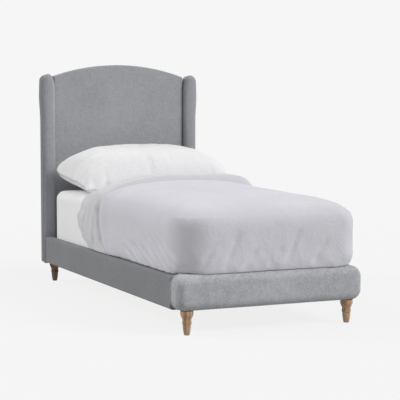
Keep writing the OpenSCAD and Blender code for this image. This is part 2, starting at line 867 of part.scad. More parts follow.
// Closed loops round the pillow, from the given station on its left to its right end
function pillow_rings(shrink, first) = [for (i = [first : pillow_stations])
    let (u = sin(90 * (2 * i / pillow_stations - 1)) * pillow_end_share,
         v = [for (j = [0 : pillow_girth]) sin(90 * (2 * j / pillow_girth - 1))])
    concat(
        [for (j = [0 : pillow_girth]) pillow_point(u, v[j], -pillow_under_h, shrink)],
        [for (j = [pillow_girth - 1 : -1 : 1]) pillow_point(u, v[j], pillow_top_h, shrink)])];

module pillow() {
    color(linen) loft(pillow_rings(pillowcase_t, 1));
}

// The pillowcase is a bag, open at its left end
module pillowcase() {
    outer = pillow_rings(0, 0);
    inner = pillow_rings(pillowcase_t, 0);
    n = len(outer[0]);
    top = pillow_stations;
    lining_start = n * (top + 1);
    wall = [for (k = [0 : top - 1], i = [0 : n - 1])
        let (a = k * n + i, b = k * n + (i + 1) % n)
        each [[a, a + n, b + n], [a, b + n, b]]];
    roof = [for (f = zip_faces(n)) [for (i = [2, 1, 0]) f[i] + top * n]];
    mouth = [for (i = [0 : n - 1]) let (j = (i + 1) % n)
        each [[i, j, j + lining_start], [i, j + lining_start, i + lining_start]]];
    lining = [for (f = concat(wall, roof)) [for (i = [2, 1, 0]) f[i] + lining_start]];
    color(linen)
        polyhedron([for (ring = concat(outer, inner)) each ring],
                   concat(wall, roof, mouth, lining), convexity = 6);
}

// Blanket and duvet: layers that lie on the mattress and hang over three sides

hang_drop = 50;
head_slant = 30;
hang_z = mattress_top_z - mattress_edge_r - hang_drop;
layer_top_z = mattress_top_z + mattress_crown;
layer_overrun = 130;
least_corner_r = 4;
plump_steps = 16;
plump_run = 70;
plump_fall = 0.3;
plump_left_pow = 2.6;
plump_right_pow = 9;
blanket_lap = 30;
foot_hem_dip = 12;
duvet_radii = [180, 90];
duvet_corner_steps = 7;
duvet_foot_bulge = 4;
duvet_line_steps = 10;
duvet_overrun = 40;
duvet_lap = 25;
duvet_hem_in = 12;
duvet_hem_rise = 70;
duvet_flat_share = 0.85;
duvet_edge_pow = 0.75;
duvet_crown_pow = 1.45;

// A layer's edge, from the head on the left, round the foot, to the head on the right.
// It has a radius for its left and its right corner, and its sides have a point at each
// of the distances along the bed that are given for the left and for the right.
function layer_line(half_w, foot_y, radii, inset, sides, bulge, corner_steps) =
    let (l = max(radii[0] - inset, least_corner_r), r = max(radii[1] - inset, least_corner_r),
         x = half_w - inset, f = foot_y + inset, steps = len(sides[1]))
    concat(
        [for (y = sides[0]) [-x, y]],
        quarter(-x + l, f + l, l, l, 180, corner_steps),
        bulge == 0 ? [] : [for (i = [1 : steps - 1]) let (t = i / steps)
            [(l - x) * (1 - t) + (x - r) * t, f - 4 * bulge * t * (1 - t)]],
        quarter(x - r, f + r, r, r, 270, corner_steps),
        [for (i = [steps - 1 : -1 : 0]) [x, sides[1][i]]]);

// Evenly spaced distances from one place up to another, without the last
function spaced(from, to, steps) = [for (i = [0 : steps - 1]) from + (to - from) * i / steps];

// What the layers are cut to, seen from the side: the head edge and the hems
module side_cut(head_points) {
    rotate([90, 0, 90])
        translate([0, 0, -wing_outer_x])
            linear_extrude(2 * wing_outer_x)
                polygon(concat(
                    [[front_y, foot_hem_z - foot_hem_dip], [front_y + foot_t / 2, foot_hem_z],
                     [sheet_foot_y, foot_hem_z], [sheet_foot_y, side_hem_z]],
                    head_points, [[front_y, headboard_h]]));
}

// A step from 0 to 1 with soft ends
function eased(t) = let (u = min(max(t, 0), 1)) u * u * (3 - 2 * u);

// How far the blanket is plumped up at a distance along the bed, from 0 to 1
function plump(y) = eased((y - duvet_head) / plump_run)
    * (1 - plump_fall * eased((y - blanket_head) / plump_run + 1));

// The mattress's own form grown by a distance, open-ended towards the head.
// When plumped, it takes the blanket's thicker head end as well.
module mattress_layer(grow, low_z, plumped) {
    r = mattress_edge_r + grow;
    corner_r = mattress_corner_r + grow;
    head_y = blanket_head + layer_overrun - grow;
    side_ys = plumped ? concat(spaced(head_y, duvet_head, plump_steps), [duvet_head]) : [head_y];
    half_w = sheet_out_x + grow;
    top_z = mattress_top_z + grow;
    edge = [for (i = [0 : sheet_edge_steps]) let (a = 90 * i / sheet_edge_steps)
        [top_z - r * (1 - sin(a)), r * (1 - cos(a))]];
    rise = [for (i = [1 : crown_steps]) let (t = i / crown_steps)
        [top_z + mattress_crown * sin(90 * t), r + (sheet_out_x - mattress_edge_r - crown_flat) * t]];
    loft([for (level = concat([[low_z, 0]], edge, rise))
        [for (p = layer_line(half_w, sheet_foot_y - grow, [corner_r, corner_r], level[1],
                             [side_ys, side_ys], 0, sheet_corner_steps))
            let (swell = plumped ? plump(p.y) : 0)
            [p.x * (1 + blanket_side_gain / half_w * swell), p.y,
             level[0] + blanket_roll * swell
                 * (1 - pow(abs(p.x) / half_w, p.x < 0 ? plump_left_pow : plump_right_pow))]]]);
}

module blanket() {
    flare_z = (side_hem_z + mattress_top_z) / 2 + head_slant;
    head_points = [[blanket_head - blanket_hem_back, side_hem_z],
                   [blanket_head + blanket_lap, (side_hem_z + flare_z) / 2],
                   [blanket_head + blanket_flare, flare_z],
                   [blanket_head, mattress_top_z - blanket_t], [blanket_head, headboard_h]];
    color(quilt) intersection() {
        difference() {
            mattress_layer(blanket_out, side_hem_z - over, true);
            mattress_layer(blanket_in, side_hem_z - 3 * over, false);
        }
        side_cut(head_points);
    }
}

// The duvet's outer face, lower towards the foot and drawn in by its hanging folds
module duvet_outer() {
    half_w = sheet_out_x + duvet_in + duvet_side_t;
    foot_y = sheet_foot_y - duvet_in - duvet_foot_t;
    head_y = duvet_head + duvet_overrun;
    rise = layer_top_z + duvet_in + duvet_top_t - hang_z;
    levels = concat(
        [for (i = [0 : 2]) let (t = i / 2)
            [side_hem_z - over + t * t * duvet_hem_rise, duvet_hem_in * (1 - t) * (1 - t)]],
        [for (i = [0 : duvet_line_steps]) let (a = 90 * i / duvet_line_steps)
            [hang_z + rise * pow(sin(a), duvet_edge_pow),
             (half_w - duvet_hem_in) * pow(1 - cos(a), duvet_crown_pow)]]);
    function lowered(y, z) =
        z - duvet_foot_drop * max(z - hang_z, 0) / rise * min(max(y / (duvet_flat_share * foot_y), 0), 1);
    function fold(i, z) =
        duvet_fold * (1 + sin(97 * i + 40)) / 2 * max((hang_z - z) / (hang_z - side_hem_z), 0);
    loft([for (level = levels)
        let (sides = [for (r = duvet_radii)
                 spaced(head_y, foot_y + max(r, level[1] + least_corner_r), duvet_line_steps)],
             line = layer_line(half_w, foot_y, duvet_radii, level[1], sides,
                               duvet_foot_bulge, duvet_corner_steps))
        [for (i = [0 : len(line) - 1])
            let (p = line[i], draw = fold(i, level[0]))
            [p.x * (1 - draw / half_w), p.y < 0 ? p.y * (1 + draw / foot_y) : p.y,
             lowered(p.y, level[0])]]]);
}

module duvet() {
    head_points = [[duvet_head - duvet_hem_back, side_hem_z],
                   [duvet_head - duvet_lap, (side_hem_z + hang_z - head_slant) / 2],
                   [duvet_head, hang_z - head_slant], [duvet_head, headboard_h]];
    color(down_cover) intersection() {
        difference() {
            duvet_outer();
            mattress_layer(duvet_in, side_hem_z - 3 * over, false);
        }
        side_cut(head_points);
    }
}

headboard_panel();
headboard_post("left");  // headboard_post_left
headboard_post("right");  // headboard_post_right
headboard_arch_rail();
headboard_mid_rail();
headboard_base_rail();
headboard_padding();
headboard_front_cover();
headboard_back_cover();
wing_core("left");  // wing_core_left
wing_core("right");  // wing_core_right
wing_padding("left");  // wing_padding_left
wing_padding("right");  // wing_padding_right
wing_cover("left");  // wing_cover_left
wing_cover("right");  // wing_cover_right
rail_board("left");  // rail_board_left
rail_board("right");  // rail_board_right
rail_padding("left");  // rail_padding_left
rail_padding("right");  // rail_padding_right
rail_cover("left");  // rail_cover_left
rail_cover("right");  // rail_cover_right
slat_batten("left");  // slat_batten_left
slat_batten("right");  // slat_batten_right
foot_board();
foot_padding();
foot_cover();
foot_piping();
leg_block("front", "left");  // leg_block_front_left
leg_block("front", "right");  // leg_block_front_right
leg_block("rear", "left");  // leg_block_rear_left
leg_block("rear", "right");  // leg_block_rear_right
leg("front", "left");  // leg_front_left
leg("front", "right");  // leg_front_right
leg("rear", "left");  // leg_rear_left
leg("rear", "right");  // leg_rear_right
leg_bolts();
leg_tee_nuts();
corner_brackets();
bracket_bolts();
wing_bolts();
slat_holders();
slat(1);  // slat_01
slat(2);  // slat_02
slat(3);  // slat_03
slat(4);  // slat_04
slat(5);  // slat_05
slat(6);  // slat_06
slat(7);  // slat_07
slat(8);  // slat_08
slat(9);  // slat_09
slat(10);  // slat_10
slat(11);  // slat_11
slat(12);  // slat_12
slat(13);  // slat_13
mattress();
fitted_sheet();
pillow();
pillowcase();
blanket();
duvet();
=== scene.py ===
"""An upholstered single bed with its bedding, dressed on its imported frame."""

import math

import bmesh
import bpy
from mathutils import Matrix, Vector, noise


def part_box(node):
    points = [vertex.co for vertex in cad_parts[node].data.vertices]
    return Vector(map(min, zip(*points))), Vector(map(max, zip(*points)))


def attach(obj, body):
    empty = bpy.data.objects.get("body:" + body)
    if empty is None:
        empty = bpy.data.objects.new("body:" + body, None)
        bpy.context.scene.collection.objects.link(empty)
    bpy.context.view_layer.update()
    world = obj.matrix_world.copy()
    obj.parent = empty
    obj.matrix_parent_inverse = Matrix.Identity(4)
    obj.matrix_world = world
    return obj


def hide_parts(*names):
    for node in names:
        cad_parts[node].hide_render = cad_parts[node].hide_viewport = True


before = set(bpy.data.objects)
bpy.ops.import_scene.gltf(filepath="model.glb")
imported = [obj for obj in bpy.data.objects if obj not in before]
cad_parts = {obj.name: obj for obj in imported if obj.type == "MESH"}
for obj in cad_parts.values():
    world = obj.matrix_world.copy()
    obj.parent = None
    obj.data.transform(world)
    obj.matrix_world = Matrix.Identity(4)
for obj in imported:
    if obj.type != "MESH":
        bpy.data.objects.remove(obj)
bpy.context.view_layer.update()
world = bpy.context.scene

# ---------------------------------------------------------------- the studio

CAMERA_AT = (-2.774, -6.389, 1.077)
CAMERA_TURN = math.radians(24.133)
CAMERA_DIP = math.radians(4.337)
CAMERA_LENS = 114.58
PAPER = 0.9216  # the pale studio paper, as light


def set_camera():
    """A long lens at the height of a standing person's chest, past the foot's left corner."""
    data = bpy.data.cameras.new("studio_camera")
    data.lens = CAMERA_LENS
    data.sensor_width = 36
    data.clip_end = 200
    camera = bpy.data.objects.new("studio_camera", data)
    camera.location = CAMERA_AT
    camera.rotation_euler = (math.pi / 2 - CAMERA_DIP, 0, -CAMERA_TURN)
    world.collection.objects.link(camera)
    world.camera = camera


def add_sun(name, towards, level, softness):
    """A lamp whose light falls evenly over the whole bed; level 1 lights a white face fully."""
    data = bpy.data.lights.new(name, "SUN")
    data.energy = level * math.pi
    data.angle = math.radians(softness)
    lamp = bpy.data.objects.new(name, data)
    lamp.rotation_euler = Vector(towards).to_track_quat("Z", "Y").to_euler()
    world.collection.objects.link(lamp)


# ------------------------------------------------------------ finishes, by node

def sum_of(operation, swapped=False):
    """Makes the method that adds a maths node for one operation."""
    def made(first, second=0):
        pair = (second, first) if swapped else (first, second)
        return first.finish.node("ShaderNodeMath", {"operation": operation}, dict(enumerate(pair)))
    return made


class Value:
    """What a shader node gives, so that sums on it can be written as they are read."""

    def __init__(self, finish, socket):
        self.finish, self.socket = finish, socket

    __add__ = __radd__ = sum_of("ADD")
    __mul__ = __rmul__ = sum_of("MULTIPLY")
    __sub__, __rsub__ = sum_of("SUBTRACT"), sum_of("SUBTRACT", swapped=True)
    __pow__, __abs__ = sum_of("POWER"), sum_of("ABSOLUTE")


def tone(red, green, blue):
    """A colour as a screen shows it, from 0 to 255, as the light that it returns."""
    def light(level):
        share = level / 255
        return share / 12.92 if share <= 0.04045 else ((share + 0.055) / 1.055) ** 2.4
    return (light(red), light(green), light(blue), 1)


def grey(light):
    """Plain light of one level, as a colour."""
    return (light, light, light, 1)


class Finish:
    """One material, built on its principled shader."""

    def __init__(self, name, roughness, **steady):
        self.material = bpy.data.materials.new(name)
        self.material.use_nodes = True
        self.tree = self.material.node_tree
        self.shader = self.tree.nodes["Principled BSDF"]
        self.give("Roughness", roughness)
        for socket, level in steady.items():
            self.give(socket.replace("_", " "), level)

    def put(self, socket, value):
        if isinstance(value, Value):
            self.tree.links.new(value.socket, socket)
        else:
            socket.default_value = value

    def give(self, socket, value):
        self.put(self.shader.inputs[socket], value)

    def node(self, kind, settings=None, values=None, output=0):
        made = self.tree.nodes.new(kind)
        for key, setting in (settings or {}).items():
            setattr(made, key, setting)
        for socket, value in (values or {}).items():
            self.put(made.inputs[socket], value)
        return Value(self, made.outputs[output])

    def place(self, stretch=(1, 1, 1), turn=0.0, own_flat=False):
        """Places on the bed or on a cloth's own flat, in metres, drawn out and turned."""
        spot = self.node("ShaderNodeUVMap", {"uv_map": "flat"}) if own_flat else \
            self.node("ShaderNodeTexCoord", output="Object")
        return self.node("ShaderNodeMapping",
                         values={"Vector": spot, "Scale": stretch, "Rotation": (0, 0, turn)})

    def cloud(self, place, scale, detail=2.0, warp=0.0, grit=0.5):
        return self.node("ShaderNodeTexNoise",
                         values={"Vector": place, "Scale": scale, "Detail": detail,
                                 "Distortion": warp, "Roughness": grit}, output="Fac")

    def stripes(self, place, axis, scale, warp=0.0, profile="SIN"):
        return self.node("ShaderNodeTexWave", {"bands_direction": axis, "wave_profile": profile},
                         {"Vector": place, "Scale": scale, "Distortion": warp}, "Fac")

    def eased(self, value, low, high, bottom=0.0, top=1.0):
        return self.node("ShaderNodeMapRange", {"interpolation_type": "SMOOTHSTEP"},
                         {"Value": value, "From Min": low, "From Max": high,
                          "To Min": bottom, "To Max": top})

    def blend(self, share, first, second):
        return self.node("ShaderNodeMix", {"data_type": "RGBA"}, {0: share, 6: first, 7: second}, 2)

    def colour(self, value, low, high, dark, light):
        """The base colour: dark where a value is low, light where it is high."""
        self.give("Base Color", self.blend(self.eased(value, low, high), dark, light))

    def bump(self, height, depth, **under):
        """Relief of a depth in metres, on the relief under it where one is given as Normal."""
        return self.node("ShaderNodeBump",
                         values={"Height": height, "Distance": depth, "Strength": 1.0, **under})

    def facing(self):
        """How far a face looks along each axis, from 0 to 1."""
        normal = self.node("ShaderNodeTexCoord", output="Normal")
        parts = [self.node("ShaderNodeSeparateXYZ", values={"Vector": normal}, output=axis)
                 for axis in "XYZ"]
        return [part * part for part in parts]


# Sizes of the patterns, in metres
YARN = 0.0016
SHEETING_YARN = 0.0007
SHEETING_RELIEF = 0.00018
PLY = 0.0024
WAVE_TURNS = 20.0  # a wave texture of scale 1 repeats this often in 2 pi metres


def wave_scale(pitch):
    """The scale that makes a wave texture repeat at a pitch in metres."""
    return 2 * math.pi / (WAVE_TURNS * pitch)


def upholstery(name, light, dark, fleck, relief=0.0004):
    """Woven heather cloth, stretched over foam."""
    cloth = Finish(name, 0.9, Sheen_Weight=0.15, Sheen_Roughness=0.5, Specular_IOR_Level=0.25)
    spot = cloth.place()
    across = cloth.cloud(cloth.place((1, 1, 0.35)), 420)
    upward = cloth.cloud(cloth.place((0.35, 0.35, 1)), 420)
    nubs = cloth.cloud(spot, 150, 3.0, grit=0.65)
    blotch = cloth.cloud(spot, 42, 3.0, grit=0.6)
    drift = cloth.cloud(spot, 4.5)
    yarn = across * 0.5 + upward * 0.5
    shade = (yarn - 0.5) * 1.1 + (nubs - 0.5) * (1.5 * fleck) + (blotch - 0.5) * (0.9 * fleck)
    shade = shade + (drift - 0.5) * 0.35 + 0.5
    colour = cloth.blend(cloth.eased(shade, 0.12, 0.88), dark, light)
    flecks = cloth.eased(nubs, 0.66, 0.76) * fleck
    cloth.give("Base Color", cloth.blend(flecks, colour, tone(206, 208, 210)))
    cloth.give("Roughness", 0.84 + 0.12 * nubs)
    look = cloth.facing()
    rows = [cloth.stripes(spot, axis, wave_scale(YARN), 0.6) for axis in "XYZ"]
    weave = (rows[1] + rows[2]) * look[0] + (rows[0] + rows[2]) * look[1] \
        + (rows[0] + rows[1]) * look[2]
    grain = cloth.bump(weave * 0.5, relief)
    cloth.give("Normal", cloth.bump(yarn * 0.5 + nubs * 0.5, relief * 2.2, Normal=grain))
    return cloth.material


def sheeting(name, light, dark, soft_creases):
    """Smooth washed cotton with its soft creases."""
    cloth = Finish(name, 0.85, Sheen_Weight=0.1, Sheen_Roughness=0.4, Specular_IOR_Level=0.25)
    flat, spot = cloth.place(own_flat=True), cloth.place()
    slub = cloth.cloud(cloth.place((1, 0.08, 1), own_flat=True), 900)
    wash = cloth.cloud(spot, 5.0, 3.0)
    creased = cloth.cloud(spot, 13.0, 4.0, warp=1.2, grit=0.55)
    fine = cloth.cloud(spot, 46.0, 3.0, warp=0.6)
    shade = (slub - 0.5) * 0.35 + (wash - 0.5) * 0.5 + (creased - 0.5) * 0.25 + 0.5
    cloth.colour(shade, 0.15, 0.85, dark, light)
    cloth.give("Roughness", 0.8 + 0.12 * fine)
    over, under = (cloth.stripes(flat, axis, wave_scale(SHEETING_YARN)) for axis in "XY")
    weave = cloth.bump(over * 0.5 + under * 0.5, SHEETING_RELIEF)
    lines = abs(creased - 0.5) * 2
    cloth.give("Normal", cloth.bump(lines ** 0.7 + fine * 0.18, soft_creases, Normal=weave))
    return cloth.material


def ticking(name):
    """Quilted mattress cloth: a small diamond quilting over a striped weave."""
    cloth = Finish(name, 0.85, Sheen_Weight=0.1, Specular_IOR_Level=0.25)
    diamonds = cloth.place(turn=math.pi / 4)
    quilting = cloth.stripes(diamonds, "X", 3.4) * cloth.stripes(diamonds, "Y", 3.4)
    bands = cloth.stripes(cloth.place(), "Z", 14)
    slub = cloth.cloud(cloth.place((0.2, 1, 1)), 500)
    cloth.colour(slub * 0.6 + bands * 0.4, 0.2, 0.8, tone(228, 227, 222), tone(243, 242, 239))
    cloth.give("Normal", cloth.bump(quilting ** 0.4, 0.003))
    return cloth.material


def lining(name):
    """Thin bonded lining under and behind the frame."""
    cloth = Finish(name, 0.95, Specular_IOR_Level=0.15)
    spot = cloth.place()
    felt = cloth.cloud(spot, 320, 3.0, grit=0.7)
    dots = cloth.stripes(spot, "X", 60) * cloth.stripes(spot, "Z", 60)
    cloth.colour(felt - dots * 0.15, 0.3, 0.7, tone(104, 106, 110), tone(134, 136, 140))
    cloth.give("Normal", cloth.bump(felt - dots * 0.4, 0.0004))
    return cloth.material


def wood(name, light, dark, along, ring=26.0, rough=0.5, coat=0.0, pores=0.5):
    """Sawn or turned timber with its grain along one axis."""
    board = Finish(name, rough, Specular_IOR_Level=0.35, Coat_Weight=coat, Coat_Roughness=0.35)
    spot, long_spot = (board.place([share if axis == along else 1.0 for axis in "XYZ"])
                       for share in (0.07, 0.03))
    figure = board.cloud(spot, ring, 4.0, warp=1.6, grit=0.55)
    rings = board.stripes(spot, "X" if along != "X" else "Y", ring * 0.35, warp=6.0)
    fibre = board.cloud(long_spot, 620, 3.0, grit=0.6)
    shade = figure * 0.55 + rings * 0.25 + fibre * 0.35
    colour = board.blend(board.eased(shade, 0.32, 0.82), dark, light)
    pits = board.eased(fibre, 0.36, 0.46, pores, 0.0)
    deep = tuple(level * 0.45 for level in dark[:3]) + (1,)
    board.give("Base Color", board.blend(pits, colour, deep))
    board.give("Roughness", (rough - 0.06) + 0.16 * fibre)
    board.give("Normal", board.bump(fibre * 0.7 + figure * 0.3, 0.0003))
    return board.material


def layered_wood(name):
    """Plywood: rotary-cut faces with thin dark glue lines on the edges."""
    sheet = Finish(name, 0.6, Specular_IOR_Level=0.3)
    figure = sheet.cloud(sheet.place((1, 1, 0.1)), 18, 4.0, warp=2.0)
    plies = sheet.stripes(sheet.place(), "Y", wave_scale(PLY), profile="SAW")
    shade = sheet.blend(sheet.eased(figure, 0.3, 0.7), tone(196, 162, 120), tone(222, 192, 152))
    edge = sheet.eased(plies, 0.8, 1.0, 0.0, 0.5) * (1 - sheet.facing()[1])
    sheet.give("Base Color", sheet.blend(edge, shade, tone(120, 88, 60)))
    sheet.give("Normal", sheet.bump(figure, 0.0004))
    return sheet.material


def worn(name, dark, light, wear, grain, rough, relief, **steady):
    """A hard finish: its tone wanders with its wear, its gloss and relief with a finer grain."""
    hard = Finish(name, rough[0], **steady)
    fine = hard.cloud(hard.place(), *grain)
    hard.colour(hard.cloud(hard.place(), *wear[:2]), *wear[2:], dark, light)
    hard.give("Roughness", rough[0] + rough[1] * fine)
    hard.give("Normal", hard.bump(fine, relief))
    return hard.material


# The upholstery reads lighter on its front panels than on its side panels; the side cloth is a
# darker copy of it, painted shade for faces turned from the light
FRONT_CLOTH = upholstery("front_upholstery", tone(180, 182, 186), tone(150, 152, 156), fleck=0.4)
FOOT_CLOTH = upholstery("foot_upholstery", tone(203, 205, 209), tone(161, 163, 168),
                        fleck=0.7, relief=0.0005)
SHADED_SIDE_CLOTH = upholstery("side_upholstery_painted_shade", tone(142, 144, 147), tone(120, 122, 125),
                        fleck=0.35, relief=0.0003)
WING_CLOTH = upholstery("wing_upholstery", tone(176, 178, 182), tone(146, 148, 152), fleck=0.4)
LINING = lining("lining")
PINE_X, PINE_Y, PINE_Z = (wood("pine_" + way, tone(226, 196, 150), tone(196, 156, 104), axis)
                          for way, axis in (("across", "X"), ("along", "Y"), ("upright", "Z")))
PLYWOOD = layered_wood("plywood")
BEECH = wood("beech", tone(232, 204, 164), tone(208, 170, 126), "X", ring=34.0, rough=0.4, coat=0.2)
# the rear legs take a darker copy of the oak: painted shade under the bed
OAK, OAK_PAINTED_SHADE = (wood(name, light, dark, "Z", ring=40.0, coat=0.1, pores=0.6)
                 for name, light, dark in (("oak", tone(214, 176, 142), tone(166, 130, 98)),
                                           ("oak_painted_shade", tone(132, 105, 80), tone(94, 72, 51))))
STEEL = worn("zinc_plated_steel", tone(176, 178, 182), tone(204, 205, 208),
             wear=(24, 2.0, 0.35, 0.7), grain=(140, 4.0, 0.5), rough=(0.26, 0.22),
             relief=0.00008, Metallic=1.0)
PLASTIC = worn("moulded_plastic", tone(40, 41, 43), tone(62, 63, 66),
               wear=(30, 3.0, 0.3, 0.75), grain=(900,), rough=(0.48, 0.16),
               relief=0.0001, Specular_IOR_Level=0.4)
TICKING = ticking("ticking")
SHEET_CLOTH, PILLOW_CLOTH, BLANKET_CLOTH, DUVET_CLOTH = (
    sheeting(name, tone(*light), tone(*dark), creases) for name, light, dark, creases in (
        ("sheet_cotton", (252, 252, 252), (247, 247, 247), 0.0010),
        ("pillow_cotton", (246, 246, 247), (236, 236, 237), 0.0018),
        ("blanket_cotton", (224, 224, 227), (209, 209, 213), 0.0016),
        ("duvet_cotton", (222, 222, 228), (211, 211, 218), 0.0014)))


# ------------------------------------------------------------- modelling by hand

def start(add, name, scale=(1, 1, 1), **how):
    """Adds a primitive under a name, drawn out to its size, with its place in its mesh."""
    bpy.ops.object.select_all(action="DESELECT")
    add(**how)
    piece = bpy.context.object
    piece.scale = scale
    piece.name = piece.data.name = name
    bpy.ops.object.transform_apply(location=True, rotation=True, scale=True)
    return piece


def block(name, low, high):
    low, high = Vector(low), Vector(high)
    return start(bpy.ops.mesh.primitive_cube_add, name, high - low, size=1,
                 location=(low + high) / 2)


def pick(piece, kind, wanted):
    """In edit mode, selects the points, edges or faces that pass a test, and counts them."""
    bpy.ops.object.mode_set(mode="EDIT")
    bpy.ops.mesh.select_mode(type=kind)
    bpy.ops.mesh.select_all(action="DESELECT")
    shape = bmesh.from_edit_mesh(piece.data)
    parts = {"VERT": shape.verts, "EDGE": shape.edges, "FACE": shape.faces}[kind]
    found = [part for part in parts if wanted(part)]
    for part in found:
        part.select_set(True)
    shape.select_flush_mode()
    bmesh.update_edit_mesh(piece.data)
    return len(found)


def at(value, other, within=1e-5):
    return abs(value - other) < within


def runs_along(edge, axis):
    """Whether an edge is parallel to an axis: 0, 1 or 2."""
    way = edge.verts[1].co - edge.verts[0].co
    return abs(way[axis]) > 0.999 * way.length


def lies_at(part, axis, value):
    """Whether an edge or a face lies in the plane across an axis at a value."""
    return all(at(v.co[axis], value) for v in part.verts)


def rounded(piece, kind, wanted, radius, steps):
    """Rounds the edges or the corner points that pass a test."""
    pick(piece, kind, wanted)
    bpy.ops.mesh.bevel(offset=radius, segments=steps, profile=0.5, clamp_overlap=False,
                       affect="EDGES" if kind == "EDGE" else "VERTICES")


def rounded_at(piece, axis, value, radius, steps):
    rounded(piece, "EDGE", lambda e: lies_at(e, axis, value), radius, steps)


def cut(piece, axis, value, clear_low=False, clear_high=False):
    """Cuts the whole mesh across an axis, and closes what it clears."""
    pick(piece, "FACE", lambda face: True)
    way = Vector([float(axis == k) for k in range(3)])
    bpy.ops.mesh.bisect(plane_co=way * value, plane_no=way, use_fill=clear_low or clear_high,
                        clear_inner=clear_low, clear_outer=clear_high)


def cut_evenly(piece, axis, low, high, parts):
    """Cuts across an axis into equal parts, so that a flat side can be shaped."""
    for step in range(1, parts):
        cut(piece, axis, low + (high - low) * step / parts)


def face_outwards():
    """Turns all faces of the active piece outwards, and leaves edit mode."""
    bpy.ops.object.mode_set(mode="EDIT")
    bpy.ops.mesh.select_all(action="SELECT")
    bpy.ops.mesh.normals_make_consistent(inside=False)
    bpy.ops.object.mode_set(mode="OBJECT")


def finish_rigid(piece, material, angle=35, second=None, where=None):
    """Smooth but for its sharp edges, and dressed, in a second finish where a test says so."""
    face_outwards()
    bpy.ops.object.shade_smooth_by_angle(angle=math.radians(angle))
    piece.data.materials.append(material)
    if second:
        piece.data.materials.append(second)
        for face in piece.data.polygons:
            face.material_index = int(where(face))


def stands_for(piece, body, slot, *nodes):
    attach(piece, body)
    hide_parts(*nodes)


def upholstered(piece, *nodes):
    """Cloth over foam, fixed to the frame."""
    stands_for(piece, "frame", "upholstery", *nodes)


# ------------------------------------------------------------------ headboard

HEADBOARD_EDGE = 0.010
HEADBOARD_SIDE_EDGE = 0.005
HEADBOARD_JOINT_W = 0.006
HEADBOARD_JOINT_DEPTH = 0.044
ARCH_RISE = 0.073


def make_headboard():
    """The padded front with its arched top, its rim rounded over the foam."""
    low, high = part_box("headboard_front_cover")
    half_w = high[0]
    radius = (half_w ** 2 + ARCH_RISE ** 2) / (2 * ARCH_RISE)
    piece = start(bpy.ops.mesh.primitive_cylinder_add, "headboard_upholstery", vertices=720,
                  radius=radius, depth=high[1] - low[1], rotation=(math.pi / 2, 0, 0),
                  location=(0, (low[1] + high[1]) / 2, high[2] - radius))
    cut(piece, 2, low[2], clear_low=True)
    cut(piece, 0, -half_w, clear_low=True)
    cut(piece, 0, half_w, clear_high=True)
    cut(piece, 1, low[1] + HEADBOARD_JOINT_DEPTH)
    for mark in (-1, 1):
        pick(piece, "VERT", lambda v: at(v.co.x, mark * half_w) and at(v.co.y, low[1]))
        bpy.ops.transform.translate(value=(-mark * HEADBOARD_JOINT_W, 0, 0))
    rounded(piece, "EDGE", lambda e: lies_at(e, 1, low[1]) and not runs_along(e, 2)
            and not lies_at(e, 2, low[2]), HEADBOARD_EDGE, 6)
    rounded(piece, "EDGE", lambda e: runs_along(e, 2) and lies_at(e, 1, low[1]),
            HEADBOARD_SIDE_EDGE, 4)
    # the side faces in the joints beside the wings take the darker side cloth: painted shade in the
    # joints
    finish_rigid(piece, FRONT_CLOTH, 35, SHADED_SIDE_CLOTH, lambda face: abs(face.normal.x) > 0.9)
    upholstered(piece, "headboard_front_cover", "headboard_padding")


# --------------------------------------------------------------------- wings

WING_FRONT_EDGE = 0.0165
WING_SEAM_BACK = 0.0185
WING_SEAM_W = 0.0022
WING_SEAM_DEPTH = 0.0045
WING_REAR_EDGE = 0.005
WING_FOOT_EDGE = 0.010
WING_OUTER_SHOULDER = 0.034
WING_INNER_SHOULDER = 0.036
WING_SHOULDER_H = 0.085
WING_BULGE = 0.007
WING_CROWN = 0.008
WING_BULGE_Z = 1.135
WING_BULGE_REACH = 0.16


